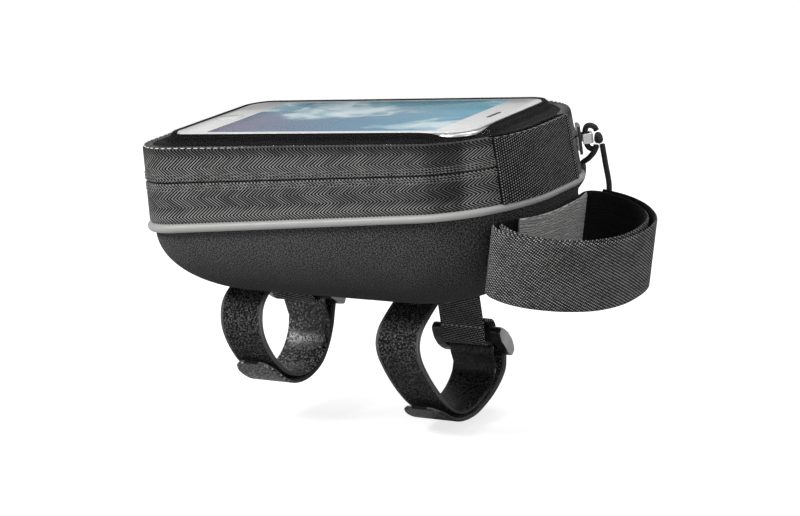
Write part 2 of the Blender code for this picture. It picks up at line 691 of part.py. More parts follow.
def build_tube_strap(parts: PartBuilder, strap: TubeStrap, webbing: bpy.types.Material,
                     plastic: bpy.types.Material) -> None:
    """A strap that goes round the tube, through its ring and back, with the ring and its tab."""
    across = Vector((1.0, 0.0, 0.0))
    path = lifted(smooth(strap.inner_run, STRAP_STEP), strap.x)
    path += strap.turn_about(strap.bar(-1.0), 180.0 - strap.ring_lean / 2, strap.leaving)
    path += lifted(smooth(strap.outer_run, STRAP_STEP), strap.x)
    ribbon(parts, f"{strap.name}_tube_strap", path, across, STRAP_WIDTH, STRAP_THICKNESS, webbing,
           tapered(path, STRAP_TIP))

    reach, half = RING_LENGTH / 2, RING_THICKNESS / 2
    slot_reach = STRAP_WIDTH / 2 + SLOT_CORNER + CLEARANCE
    slot = Outline(slot_reach, slot_reach, RING_HEIGHT / 2 - RING_BAR, SLOT_CORNER, SLOT_CORNER)
    rings = [ring(Outline(reach, reach, RING_HEIGHT / 2 * share, RING_CORNER, RING_CORNER), half * level)
             for level, share in RING_PROFILE]
    rings += [ring(slot, half * level) for level, _ in reversed(RING_PROFILE)]
    hoop = parts.loft(f"{strap.name}_strap_ring", rings, plastic)
    hoop.rotation_euler.x = math.radians(90.0 + strap.ring_lean)
    hoop.location = strap.centre

    high = strap.bar(1.0)
    drop = STRAP_THICKNESS / 2 + LAYER_GAP - CHANNEL_DEPTH
    root = Vector((strap.x, strap.tab_root * MM, -drop))
    neck = high + strap.up * (WRAP_ALONG + TAB_NECK)
    snug = STRAP_THICKNESS / 2 + CLEARANCE / 2
    bend = Vector((strap.x, neck.y - TAB_BEND, -drop - TAB_BEND_DROP))
    under_seat = Vector((strap.x, bend.y - TAB_LEVEL, -drop))
    tight = neck - strap.side * snug
    inside = [root, under_seat, bend, bend.lerp(tight, 0.3), tight]
    flat = [(point.y / MM, point.z / MM) for point in inside]
    path = lifted(smooth(flat, TAB_STEP), strap.x)
    path += strap.turn_about(high, 140.0, 400.0)
    path.append(neck + strap.side * snug)
    ribbon(parts, f"{strap.name}_ring_tab", path, across, STRAP_WIDTH, STRAP_THICKNESS, webbing)


def build_head_strap(parts: PartBuilder, webbing: bpy.types.Material, ribbed: bpy.types.Material) -> None:
    """The strap for the head tube, with both its ends free, and the keeper sewn over it."""
    inner_end = [(-3.5, -36.4), (5, -41.2), (14, -40.6), (23.2, -36.2), (31.2, -27.4), (36.2, -13),
                 (35.6, 4), (31.4, 15.5), (23, 24), (13, 28.2), (4.6, 27.6)]
    against_shell = [(1.0, 22.5), (3.0, 12), (3.4, 0), (3.0, -12), (1.0, -22.5), (-2.8, -30.5)]
    outer_end = [(-5.2, -37.4), (-3.6, -41.6), (1.6, -44.2), (8.8, -44.9), (17, -42.9), (26.8, -36.9), (35, -27),
                 (39.4, -12.5), (38.8, 5), (34.2, 17.2), (26, 26.4), (15.6, 31.2), (5, 31.4)]
    flat = smooth(inner_end + against_shell + outer_end, HEAD_STRAP_STEP)
    lean = HEAD_STRAP_PITCH
    up = Vector((math.sin(lean), 0.0, math.cos(lean)))
    ahead = Vector((math.cos(lean), 0.0, -math.sin(lean)))
    origin = Vector((BAND_FRONT, 0.0, HEAD_STRAP_TOP)) - up * HEAD_STRAP_WIDTH / 2
    path = [origin + ahead * point.x + Vector((0.0, point.y, 0.0)) for point in flat]
    ribbon(parts, "head_strap", path, up, HEAD_STRAP_WIDTH, HEAD_STRAP_THICKNESS, webbing)

    behind = smooth([(1.8, 19), (3.0, 12), (3.4, 0), (3.0, -12), (1.0, -22.5), (-1.4, -28)], HEAD_STRAP_STEP)
    outward = (HEAD_STRAP_THICKNESS + KEEPER_THICKNESS) / 2 + LAYER_GAP
    path = []
    for index, point in enumerate(behind):
        run = behind[min(index + 1, len(behind) - 1)] - behind[max(index - 1, 0)]
        over = point + Vector((-run.y, run.x)).normalized() * outward
        path.append(origin + up * KEEPER_RAISE + ahead * over.x + Vector((0.0, over.y, 0.0)))
    ribbon(parts, "head_strap_keeper", path, up, KEEPER_HEIGHT, KEEPER_THICKNESS, ribbed)


def main() -> None:
    """Build every piece."""
    clear_scene()
    parts = PartBuilder()
    fabric = material("shell_fabric", (0.030, 0.029, 0.030), 0.85)
    tape = material("zip_tape", (0.035, 0.034, 0.035), 0.7)
    coil = material("coil_nylon", (0.02, 0.02, 0.02), 0.45)
    webbing = material("webbing", (0.045, 0.044, 0.044), 0.8)
    ribbed = material("ribbed_webbing", (0.10, 0.10, 0.098), 0.8)
    strap = material("strap", (0.028, 0.027, 0.028), 0.85)
    reflective = material("reflective_piping", (0.55, 0.54, 0.53), 0.5)
    film = material("clear_film", (0.9, 0.9, 0.9), 0.1, alpha=0.3)
    padding = material("black_padding", (0.012, 0.012, 0.012), 0.4)
    case = material("phone_case", (0.75, 0.75, 0.76), 0.35, metallic=0.6)
    glass = material("phone_glass", (0.35, 0.5, 0.65), 0.1)
    enamel = material("black_enamel", (0.015, 0.015, 0.015), 0.35, metallic=0.5)
    chrome = material("bright_metal", (0.8, 0.8, 0.8), 0.15, metallic=1.0)
    plastic = material("black_plastic", (0.015, 0.015, 0.015), 0.35)
    braid = material("braided_cord", (0.02, 0.02, 0.02), 0.75)

    build_shell(parts, fabric)
    build_head_strap(parts, strap, ribbed)
    for each in STRAPS:
        build_tube_strap(parts, each, strap, plastic)

    parts.use_frame("band", BAND_FRAME, Vector((0.0, 0.0, 0.0)))
    build_band(parts, tape, coil, webbing, reflective)

    parts.use_frame("lid_fold", BAND_FRAME, FOLD_LINE)
    build_lid(parts, tape, coil, webbing, film, padding)
    build_phone(parts, case, glass)

    corner_x, corner_y, _ = band(0.0, -ZIP_DROP).corner(0)
    parts.use_frame("slider_track", BAND_FRAME, Vector((corner_x, corner_y, -ZIP_DROP)))
    build_slider(parts, enamel, chrome)
    build_pull(parts, braid)


main()
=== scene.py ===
"""Looks of a top tube phone bag: woven tapes and webbing, moulded shell, clear window, phone and straps.

Lengths are in metres in the CAD frame: +X forward, +Y to the far side, +Z up, with the origin on
the seat under the bag. The band between the window and the shell has a pitched frame of its own,
in which the zip line is level.
"""

import logging
import math
from dataclasses import dataclass
from enum import Enum
from typing import Callable, Iterable, Sequence

import bmesh
import bpy
from mathutils import Matrix, Vector, noise


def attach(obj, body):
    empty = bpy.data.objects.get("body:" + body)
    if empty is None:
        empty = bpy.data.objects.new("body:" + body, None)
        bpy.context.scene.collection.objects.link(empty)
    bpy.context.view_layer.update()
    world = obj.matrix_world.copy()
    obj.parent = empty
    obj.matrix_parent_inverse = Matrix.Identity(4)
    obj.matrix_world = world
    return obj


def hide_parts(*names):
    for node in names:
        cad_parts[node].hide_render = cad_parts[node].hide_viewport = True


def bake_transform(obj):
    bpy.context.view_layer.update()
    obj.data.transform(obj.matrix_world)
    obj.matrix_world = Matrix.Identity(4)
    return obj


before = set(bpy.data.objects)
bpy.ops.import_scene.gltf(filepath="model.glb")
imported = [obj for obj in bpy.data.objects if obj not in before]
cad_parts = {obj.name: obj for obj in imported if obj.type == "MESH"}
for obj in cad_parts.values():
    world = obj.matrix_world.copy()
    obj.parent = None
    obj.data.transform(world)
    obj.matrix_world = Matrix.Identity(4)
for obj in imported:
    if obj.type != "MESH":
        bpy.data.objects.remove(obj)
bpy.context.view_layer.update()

LOG = logging.getLogger("phone_bag")
MM = 0.001

Level = Callable[[float], float]
Colour = tuple[float, float, float]
Shade = tuple[int, float, float, float, float]


class Body(Enum):
    """The rigid bodies that pieces ride on."""

    BAG = "bag"
    LID = "lid"
    SLIDER = "slider"


class Slot(Enum):
    """The record's material slots."""

    SHELL = "shell_fabric"
    STRAP = "strap_webbing"
    RIBBED = "ribbed_webbing"
    RING = "ring_plastic"
    TAPE = "zip_tape"
    COIL = "zip_coil"
    WEBBING = "front_webbing"
    PIPING = "reflective_piping"
    FILM = "clear_film"
    PADDING = "black_padding"
    CASE = "phone_case"
    GLASS = "phone_glass"
    ENAMEL = "slider_enamel"
    CHROME = "bright_metal"
    CORD = "braided_cord"


class Weave(Enum):
    """The surface patterns, each a shader node group."""

    HERRINGBONE = "herringbone"
    STAGGERED = "staggered threads"
    PILE = "loop pile"
    GRAIN = "fine grain"
    RIBS = "wavy ribs"
    BRAID = "braid"


# Geometry of the band


@dataclass(frozen=True)
class Station:
    """A place round an outline: the way the wall faces, its corner, and its share of the next straight."""

    angle: float
    quarter: int
    share: float = 0.0


@dataclass(frozen=True)
class Outline:
    """A rounded rectangle seen from above, with one corner radius at each end."""

    front: float
    rear: float
    half_width: float
    front_radius: float
    rear_radius: float

    def inset(self, distance: float) -> "Outline":
        """The same outline moved inward by a distance."""
        return Outline(self.front - distance, self.rear - distance, self.half_width - distance,
                       self.front_radius - distance, self.rear_radius - distance)

    def mix(self, other: "Outline", share: float) -> "Outline":
        """An outline part of the way from this one to another."""
        return Outline(
            self.front + (other.front - self.front) * share,
            self.rear + (other.rear - self.rear) * share,
            self.half_width + (other.half_width - self.half_width) * share,
            self.front_radius + (other.front_radius - self.front_radius) * share,
            self.rear_radius + (other.rear_radius - self.rear_radius) * share,
        )

    def corner(self, quarter: int, angle: float) -> Vector:
        """The point of a corner where the wall faces an angle in degrees."""
        side = 1.0 if quarter in (0, 1) else -1.0
        if quarter in (0, 3):
            radius = self.front_radius
            centre = Vector((self.front - radius, side * (self.half_width - radius)))
        else:
            radius = self.rear_radius
            centre = Vector((radius - self.rear, side * (self.half_width - radius)))
        turn = math.radians(angle)
        return centre + Vector((math.cos(turn), math.sin(turn))) * radius

    def place(self, station: Station) -> Vector:
        """The point of this outline at a station."""
        point = self.corner(station.quarter, station.angle)
        if station.share:
            point = point.lerp(self.corner((station.quarter + 1) % 4, station.angle), station.share)
        return point


class Track:
    """Matching places round every outline, with their distance round the band.

    Attributes:
        stations: the places, in order.
        distances: the distance of each from the first; a closed track has one more, back at the first.
        closed: whether the track goes all the way round.
    """

    def __init__(self, outline: Outline, turn: tuple[float, float] = (0.0, 360.0), spacing: float = 2.0 * MM):
        """Lay the stations out.

        Args:
            outline: the outline that the distances are measured on.
            turn: the first and last angle, in degrees.
            spacing: the longest step.
        """
        first, last = turn
        self.closed = last - first >= 360.0
        self.stations: list[Station] = []
        for block in range(math.floor(first / 90.0), math.ceil(last / 90.0)):
            quarter = block % 4
            low, high = max(first, 90.0 * block), min(last, 90.0 * (block + 1))
            radius = outline.front_radius if quarter in (0, 3) else outline.rear_radius
            steps = max(1, math.ceil(math.radians(high - low) * radius / spacing))
            angles = [low + (high - low) * step / steps for step in range(steps + 1)]
            self.stations += [Station(angle, quarter) for angle in angles]
            if high < last or self.closed:
                run = (outline.corner((quarter + 1) % 4, high) - outline.corner(quarter, high)).length
                steps = max(1, math.ceil(run / spacing))
                self.stations += [Station(high, quarter, step / steps) for step in range(1, steps)]
        places = [outline.place(station) for station in self.stations]
        if self.closed:
            places.append(places[0])
        self.distances = [0.0]
        for before, after in zip(places, places[1:]):
            self.distances.append(self.distances[-1] + (after - before).length)

    def line(self, outline: Outline, level: Level) -> list[Vector]:
        """The points of an outline along this track.

        Args:
            outline: the outline to follow.
            level: the height at each x.

        Returns:
            One point for each station.
        """
        points = []
        for station in self.stations:
            flat = outline.place(station)
            points.append(Vector((flat.x, flat.y, level(flat.x))))
        return points


@dataclass(frozen=True)
class BandShape:
    """The band's sizes and its pitched frame."""

    rear: float = 85.0 * MM
    front: float = 81.5 * MM
    half_width: float = 45.0 * MM
    rear_corner: float = 19.0 * MM
    front_corner: float = 37.0 * MM
    pitch: float = math.radians(4.6)
    rim_height: float = 63.2 * MM
    zip_drop: float = 12.3 * MM
    tape_drop: float = 26.2 * MM
    rim_fall: float = math.radians(1.2)
    tape_rise: float = math.radians(0.8)
    flare: float = math.radians(3.0)
    fold_height: float = 6.0 * MM
    near_seam: float = -39.0
    far_seam: float = 9.0
    piping_room: float = 4.3 * MM
    tape_thickness: float = 1.0 * MM
    turn_in: float = 4.0 * MM
    clearance: float = 0.3 * MM

    @property
    def matrix(self) -> Matrix:
        """The band's frame, with its origin on the rim over the seat's middle."""
        return Matrix.Translation((0.0, 0.0, self.rim_height)) @ Matrix.Rotation(-self.pitch, 4, "Y")

    def outline(self, inset: float, height: float) -> Outline:
        """The band's outline at a height under the rim, inside its outer face by an inset."""
        rim = Outline(self.front, self.rear, self.half_width, self.front_corner, self.rear_corner)
        return rim.inset(inset + height * math.tan(self.flare))

    def level(self, height: float) -> Level:
        """How a height over the seat's middle changes along the band."""
        if height > -self.zip_drop:
            slope = -math.tan(self.rim_fall) * (1.0 + height / self.zip_drop)
        else:
            slope = -math.tan(self.tape_rise) * (height + self.zip_drop) / (self.tape_drop - self.zip_drop)
        return lambda x: height + slope * x

    def line(self, track: Track, inset: float, height: float) -> list[Vector]:
        """A line round the band in the row frame, at an inset and a height under the rim."""
        return [self.matrix @ point for point in track.line(self.outline(inset, height), self.level(height))]


@dataclass(frozen=True)
class PhoneShape:
    """The phone's sizes and its place in the band's frame."""

    length: float = 138.0 * MM
    width: float = 67.0 * MM
    thickness: float = 7.0 * MM
    corner: float = 9.5 * MM
    centre_x: float = -3.3 * MM
    top: float = 3.2 * MM
    pitch: float = math.radians(1.5)
    display_length: float = 104.0 * MM
    display_width: float = 58.8 * MM

    def outline(self, inset: float = 0.0) -> Outline:
        """The phone's outline, or one inside it."""
        half = self.length / 2
        return Outline(half + self.centre_x, half - self.centre_x, self.width / 2, self.corner,
                       self.corner).inset(inset)

    def level(self, offset: float) -> Level:
        """A plane parallel to the phone's face, at an offset above it."""
        return lambda x: self.top + offset - (x - self.centre_x) * math.tan(self.pitch)


BAND = BandShape()
PHONE = PhoneShape()


def smooth(points: Sequence[tuple[float, ...]], spacing: float) -> list[Vector]:
    """A smooth curve through points given in millimetres.

    Args:
        points: the points to pass through, flat or not.
        spacing: about the distance between samples, in metres.

    Returns:
        The samples, in metres.
    """
    known = [Vector(point) * MM for point in points]
    ends = [2 * known[0] - known[1]] + known + [2 * known[-1] - known[-2]]
    curve = []
    for before, start, end, after in zip(ends, ends[1:], ends[2:], ends[3:]):
        count = max(2, round((end - start).length / spacing))
        for step in range(count):
            t = step / count
            curve.append(
                0.5 * (2 * start + (end - before) * t
                       + (2 * before - 5 * start + 4 * end - after) * t ** 2
                       + (3 * start - before - 3 * end + after) * t ** 3)
            )
    return curve + [known[-1]]


def lengths(points: Sequence[Vector]) -> list[float]:
    """The distance of each point of a line from the first."""
    found = [0.0]
    for before, after in zip(points, points[1:]):
        found.append(found[-1] + (after - before).length)
    return found


def bent(profile: Sequence[tuple[float, float]], share: float) -> float:
    """Read a smooth profile at a share of its run.

    Args:
        profile: pairs of share and height, in order.
        share: where to read it.

    Returns:
        The height there, eased between the pairs.
    """
    for (low, start), (high, end) in zip(profile, profile[1:]):
        if share <= high:
            t = (share - low) / (high - low)
            return start + (end - start) * (3 * t * t - 2 * t ** 3)
    return profile[-1][1]


# Making pieces


@dataclass
class Grid:
    """Rows of points that become one surface, with its own UV map in millimetres.

    Attributes:
        rows: the rows of points, each as long as the others.
        across: the U of each column, in metres; a ring has one more.
        along: the V of each row, in metres; a wrapped grid has one more.
        ring: whether the last column meets the first.
        wrap: whether the last row meets the first.
        caps: the rows that are closed with one face.
        ends: whether the first and last column are closed with one face each.
        slots: the material of each band of faces between rows.
    """

    rows: Sequence[Sequence[Vector]]
    across: Sequence[float]
    along: Sequence[float]
    ring: bool = False
    wrap: bool = False
    caps: Sequence[int] = ()
    ends: bool = False
    slots: Sequence[int] = ()

    def mesh(self, name: str, sharp: float = 40.0) -> bpy.types.Object:
        """Make the surface.

        Args:
            name: the piece's name.
            sharp: the angle in degrees from which an edge stays sharp.

        Returns:
            The new object, in the scene.
        """
        made = bmesh.new()
        uv = made.loops.layers.uv.new("UVMap")
        grid = [[made.verts.new(point) for point in row] for row in self.rows]
        rows, columns = len(grid), len(grid[0])
        for row in range(rows if self.wrap else rows - 1):
            upper, lower = grid[row], grid[(row + 1) % rows]
            for column in range(columns if self.ring else columns - 1):
                beside = (column + 1) % columns
                face = made.faces.new((upper[column], upper[beside], lower[beside], lower[column]))
                corners = ((column, row), (column + 1, row), (column + 1, row + 1), (column, row + 1))
                for loop, (u, v) in zip(face.loops, corners):
                    loop[uv].uv = (self.across[u] / MM, self.along[v] / MM)
                if self.slots:
                    face.material_index = self.slots[row]
        for row in self.caps:
            made.faces.new(grid[row])
        if self.ends:
            made.faces.new([row[0] for row in grid])
            made.faces.new([row[-1] for row in grid])
        bmesh.ops.recalc_face_normals(made, faces=made.faces)
        for face in made.faces:
            face.smooth = True
        return placed(name, made, sharp)


def placed(name: str, made: bmesh.types.BMesh, sharp: float = 40.0) -> bpy.types.Object:
    """Turn a bmesh into an object at the origin of the scene."""
    data = bpy.data.meshes.new(name)
    made.to_mesh(data)
    made.free()
    data.set_sharp_from_angle(angle=math.radians(sharp))
    piece = bpy.data.objects.new(name, data)
    bpy.context.scene.collection.objects.link(piece)
    return piece


def applied(piece: bpy.types.Object) -> bpy.types.Object:
    """Bake a piece's modifiers into its mesh."""
    graph = bpy.context.evaluated_depsgraph_get()
    data = bpy.data.meshes.new_from_object(piece.evaluated_get(graph))
    piece.modifiers.clear()
    piece.data = data
    return piece


def thickened(piece: bpy.types.Object, thickness: float) -> bpy.types.Object:
    """Give an open surface a wall on its inner side."""
    wall = piece.modifiers.new("wall", "SOLIDIFY")
    wall.thickness = thickness
    wall.offset = -1.0
    wall.use_even_offset = True
    return applied(piece)


def rounded(piece: bpy.types.Object, width: float, segments: int = 2) -> bpy.types.Object:
    """Round a piece's sharp edges."""
    bevel = piece.modifiers.new("edges", "BEVEL")
    bevel.width = width
    bevel.segments = segments
    bevel.limit_method = "ANGLE"
    bevel.angle_limit = math.radians(35.0)
    return applied(piece)


def finish_piece(piece: bpy.types.Object, body: Body, slot: Slot, materials: Iterable[bpy.types.Material],
                 nodes: Sequence[str] = ()) -> bpy.types.Object:
    """Dress a piece and fix it to its body.

    Args:
        piece: the finished mesh or curve.
        body: the body that it rides on.
        slot: the record's slot; not used.
        materials: its materials, in the order of its faces' slots.
        nodes: the CAD nodes that it stands for.

    Returns:
        The same piece.
    """
    faces = [face.material_index for face in piece.data.polygons]
    piece.data.materials.clear()
    for material in materials:
        piece.data.materials.append(material)
    piece.data.polygons.foreach_set("material_index", faces)
    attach(piece, body.value)
    if nodes:
        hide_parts(*nodes)
    LOG.info("%s rides on %s", piece.name, body.value)
    return piece


# Repeats made with Geometry Nodes


@dataclass(frozen=True)
class Repeat:
    """Small pieces at even steps along a line, such as stitches or coil teeth.

    Attributes:
        step: the distance between them.
        size: each one's half length along the line, and its half sizes across it.
        upright: whether each stays upright, or turns freely with the line.
    """

    step: float
    size: tuple[float, float, float]
    upright: bool = False

    def tree(self) -> bpy.types.NodeTree:
        """The node tree that lays the pieces out, made once for each kind of turn."""
        name = "Upright repeat" if self.upright else "Free repeat"
        if name in bpy.data.node_groups:
            return bpy.data.node_groups[name]
        tree = bpy.data.node_groups.new(name, "GeometryNodeTree")
        sockets = tree.interface
        sockets.new_socket("Line", in_out="INPUT", socket_type="NodeSocketGeometry")
        sockets.new_socket("Step", in_out="INPUT", socket_type="NodeSocketFloat")
        sockets.new_socket("Size", in_out="INPUT", socket_type="NodeSocketVector")
        sockets.new_socket("Material", in_out="INPUT", socket_type="NodeSocketMaterial")
        sockets.new_socket("Pieces", in_out="OUTPUT", socket_type="NodeSocketGeometry")
        add = tree.nodes.new
        given, result = add("NodeGroupInput"), add("NodeGroupOutput")
        curve, points = add("GeometryNodeMeshToCurve"), add("GeometryNodeResampleCurve")
        points.mode = "LENGTH"
        bead, tangent = add("GeometryNodeMeshUVSphere"), add("GeometryNodeInputTangent")
        bead.inputs["Segments"].default_value = 8
        bead.inputs["Rings"].default_value = 5
        bead.inputs["Radius"].default_value = 1.0
        turn = add("FunctionNodeAlignRotationToVector")
        turn.axis = "X"
        turn.pivot_axis = "Z" if self.upright else "AUTO"
        copies, whole = add("GeometryNodeInstanceOnPoints"), add("GeometryNodeRealizeInstances")
        shade, dress = add("GeometryNodeSetShadeSmooth"), add("GeometryNodeSetMaterial")
        link = tree.links.new
        link(given.outputs["Line"], curve.inputs["Mesh"])
        link(curve.outputs["Curve"], points.inputs["Curve"])
        link(given.outputs["Step"], points.inputs["Length"])
        link(points.outputs["Curve"], copies.inputs["Points"])
        link(bead.outputs["Mesh"], copies.inputs["Instance"])
        link(tangent.outputs["Tangent"], turn.inputs["Vector"])
        link(turn.outputs["Rotation"], copies.inputs["Rotation"])
        link(given.outputs["Size"], copies.inputs["Scale"])
        link(copies.outputs["Instances"], whole.inputs["Geometry"])
        link(whole.outputs["Geometry"], shade.inputs["Geometry"])
        link(shade.outputs["Geometry"], dress.inputs["Geometry"])
        link(given.outputs["Material"], dress.inputs["Material"])
        link(dress.outputs["Geometry"], result.inputs["Pieces"])
        return tree

    def along(self, name: str, line: Sequence[Vector], material: bpy.types.Material) -> bpy.types.Object:
        """Lay the pieces along a line.

        Args:
            name: the new piece's name.
            line: the points of the line.
            material: what the pieces are made of.

        Returns:
            One plain mesh with every copy in it.
        """
        made = bmesh.new()
        verts = [made.verts.new(point) for point in line]
        for before, after in zip(verts, verts[1:]):
            made.edges.new((before, after))
        piece = placed(name, made)
        modifier = piece.modifiers.new("repeat", "NODES")
        modifier.node_group = self.tree()
        values = {"Step": self.step, "Size": self.size, "Material": material}
        for item in modifier.node_group.interface.items_tree:
            if item.in_out == "INPUT" and item.name in values:
                modifier[item.identifier] = values[item.name]
        return applied(piece)


def joined(name: str, pieces: Sequence[bpy.types.Object]) -> bpy.types.Object:
    """Join pieces into the first, under a new name."""
    made = bmesh.new()
    for piece in pieces:
        made.from_mesh(piece.data)
    materials = list(pieces[0].data.materials)
    for piece in pieces:
        bpy.data.objects.remove(piece)
    whole = placed(name, made, 60.0)
    for material in materials:
        whole.data.materials.append(material)
    return whole


# Shaders

Socket = bpy.types.NodeSocket
Value = float | Socket


class Graph:
    """Short calls that add nodes to one tree."""

    def __init__(self, tree: bpy.types.NodeTree):
        """Work on a tree.

        Args:
            tree: the tree that the nodes go into.
        """
        self.tree = tree

    def node(self, kind: str, inputs: dict[str | int, object] | None = None,
             **settings: object) -> bpy.types.Node:
        """Add a node.

        Args:
            kind: the node's type.
            inputs: values or sockets for its inputs, by name or place.
            settings: the node's own properties.

        Returns:
            The new node.
        """
        made = self.tree.nodes.new(kind)
        for key, value in settings.items():
            setattr(made, key, value)
        for key, value in (inputs or {}).items():
            if isinstance(value, bpy.types.NodeSocket):
                self.tree.links.new(value, made.inputs[key])
            else:
                made.inputs[key].default_value = value
        return made

    def maths(self, operation: str, *values: Value) -> Socket:
        """The result of a maths node."""
        return self.node("ShaderNodeMath", dict(enumerate(values)), operation=operation).outputs[0]

    def wave(self, value: Value) -> Socket:
        """A smooth wave from 0 to 1, once for each whole number."""
        turned = self.maths("COSINE", self.maths("MULTIPLY", value, math.tau))
        return self.maths("MULTIPLY_ADD", turned, -0.5, 0.5)

    def step(self, value: Value, low: float, high: float, start: Value = 0.0, end: Value = 1.0) -> Socket:
        """A smooth step of a value from one limit to another."""
        return self.node("ShaderNodeMapRange", {0: value, 1: low, 2: high, 3: start, 4: end},
                         interpolation_type="SMOOTHSTEP").outputs[0]

    def frayed(self, ridge: Socket, fibre: Socket, share: float) -> Socket:
        """A ridge that loses a share of its height between its fibres."""
        fine = self.maths("MULTIPLY", ridge, fibre)
        return self.maths("MULTIPLY_ADD", fine, share, self.maths("MULTIPLY", ridge, 1.0 - share))

    def split(self, vector: Socket) -> tuple[Socket, Socket, Socket]:
        """The parts of a vector."""
        parts = self.node("ShaderNodeSeparateXYZ", {0: vector}).outputs
        return parts[0], parts[1], parts[2]

    def joined(self, x: Value, y: Value, z: Value = 0.0) -> Socket:
        """A vector of three values."""
        return self.node("ShaderNodeCombineXYZ", {0: x, 1: y, 2: z}).outputs[0]

    def noise(self, vector: Socket, scale: float, detail: float = 2.0) -> Socket:
        """Smooth noise at a scale."""
        inputs = {"Vector": vector, "Scale": scale, "Detail": detail}
        return self.node("ShaderNodeTexNoise", inputs).outputs[0]

    def random(self, vector: Socket) -> Socket:
        """One random value for each vector."""
        return self.node("ShaderNodeTexWhiteNoise", {"Vector": vector}).outputs[0]

    def colour(self, share: Value, low: Colour | Socket, high: Colour | Socket) -> Socket:
        """A mix of two colours."""
        ends = [end if isinstance(end, bpy.types.NodeSocket) else (*end, 1.0) for end in (low, high)]
        mix = self.node("ShaderNodeMix", {0: share, 6: ends[0], 7: ends[1]}, data_type="RGBA")
        return mix.outputs[2]


class WeaveGroup:
    """A shader node group that turns a flat place in millimetres into threads."""

    def __init__(self, name: str, **sizes: float):
        """Start a group.

        Args:
            name: the group's name.
            sizes: its inputs, with their usual values.
        """
        self.tree = bpy.data.node_groups.new(name, "ShaderNodeTree")
        self.graph = Graph(self.tree)
        self.tree.interface.new_socket("Place", in_out="INPUT", socket_type="NodeSocketVector")
        for size, usual in sizes.items():
            socket = self.tree.interface.new_socket(size, in_out="INPUT", socket_type="NodeSocketFloat")
            socket.default_value = usual
        for output in ("Height", "Thread"):
            self.tree.interface.new_socket(output, in_out="OUTPUT", socket_type="NodeSocketFloat")
        self.given = self.tree.nodes.new("NodeGroupInput").outputs
        self.u, self.v, _ = self.graph.split(self.given["Place"])

    def finish(self, height: Socket, thread: Socket) -> bpy.types.NodeTree:
        """Connect the results: a height from 0 to 1, and a value that differs from thread to thread."""
        result = self.tree.nodes.new("NodeGroupOutput")
        self.tree.links.new(height, result.inputs["Height"])
        self.tree.links.new(thread, result.inputs["Thread"])
        return self.tree


def herringbone() -> bpy.types.NodeTree:
    """Slanting threads that turn back at the edge of each column."""
    group = WeaveGroup("Herringbone", Pitch=1.1, Column=3.3, Slant=1.5, Offset=0.0)
    g, given = group.graph, group.given
    across = g.maths("SUBTRACT", group.v, given["Offset"])
    fold = g.maths("PINGPONG", across, given["Column"])
    slanted = g.maths("MULTIPLY_ADD", fold, given["Slant"], group.u)
    count = g.maths("DIVIDE", slanted, given["Pitch"])
    column = g.maths("FLOOR", g.maths("DIVIDE", across, given["Column"]))
    thread = g.random(g.joined(g.maths("FLOOR", count), column))
    ridge = g.step(g.wave(count), 0.4, 0.9)
    fibre = g.wave(g.maths("DIVIDE", g.maths("MULTIPLY_ADD", group.v, 0.5, group.u), 0.37))
    return group.finish(g.frayed(ridge, fibre, 0.25), thread)


def staggered() -> bpy.types.NodeTree:
    """Short floating threads in rows, each row shifted from the last, so that they read as diagonals."""
    group = WeaveGroup("Staggered threads", Length=1.4, Width=0.7, Shift=0.34)
    g, given = group.graph, group.given
    row = g.maths("DIVIDE", group.v, given["Width"])
    line = g.maths("FLOOR", row)
    run = g.maths("MULTIPLY_ADD", line, given["Shift"], g.maths("DIVIDE", group.u, given["Length"]))
    cell = g.random(g.joined(g.maths("FLOOR", run), line))
    height = g.maths("MULTIPLY", g.step(g.wave(run), 0.2, 0.85), g.step(g.wave(row), 0.15, 0.85))
    return group.finish(height, cell)


def loop_pile() -> bpy.types.NodeTree:
    """Curled loops of fine fibre."""
    group = WeaveGroup("Loop pile", Loop=0.9)
    g, given = group.graph, group.given
    scale = g.maths("DIVIDE", 1.0, given["Loop"])
    place = g.joined(g.maths("MULTIPLY", group.u, scale), g.maths("MULTIPLY", group.v, scale))
    swirl = g.node("ShaderNodeTexNoise", {"Vector": place, "Scale": 1.6, "Detail": 1.0}).outputs["Color"]
    moved = g.node("ShaderNodeVectorMath", {0: place, 1: swirl}, operation="ADD").outputs[0]
    cells = g.node("ShaderNodeTexVoronoi", {"Vector": moved, "Scale": 1.0}, feature="F1")
    away = g.maths("ABSOLUTE", g.maths("MULTIPLY_ADD", cells.outputs["Distance"], 4.0, -1.4))
    ring = g.maths("SUBTRACT", 1.0, away)
    return group.finish(g.step(ring, 0.35, 0.95), g.step(g.random(cells.outputs["Position"]), 0.25, 0.85))


def fine_grain() -> bpy.types.NodeTree:
    """The small even bumps of a knitted face that was pressed in a mould."""
    group = WeaveGroup("Fine grain", Pitch=0.5)
    g, given = group.graph, group.given
    scale = g.maths("DIVIDE", 1.0, given["Pitch"])
    across = g.maths("MULTIPLY", g.maths("ADD", group.u, group.v), scale)
    up = g.maths("MULTIPLY", g.maths("SUBTRACT", group.u, group.v), scale)
    knit = g.maths("MULTIPLY", g.wave(across), g.wave(up))
    speckle = g.step(g.noise(g.joined(across, up), 1.2, 1.0), 0.38, 0.64)
    height = g.maths("MULTIPLY_ADD", knit, 0.3, g.maths("MULTIPLY", speckle, 0.7))
    return group.finish(height, speckle)


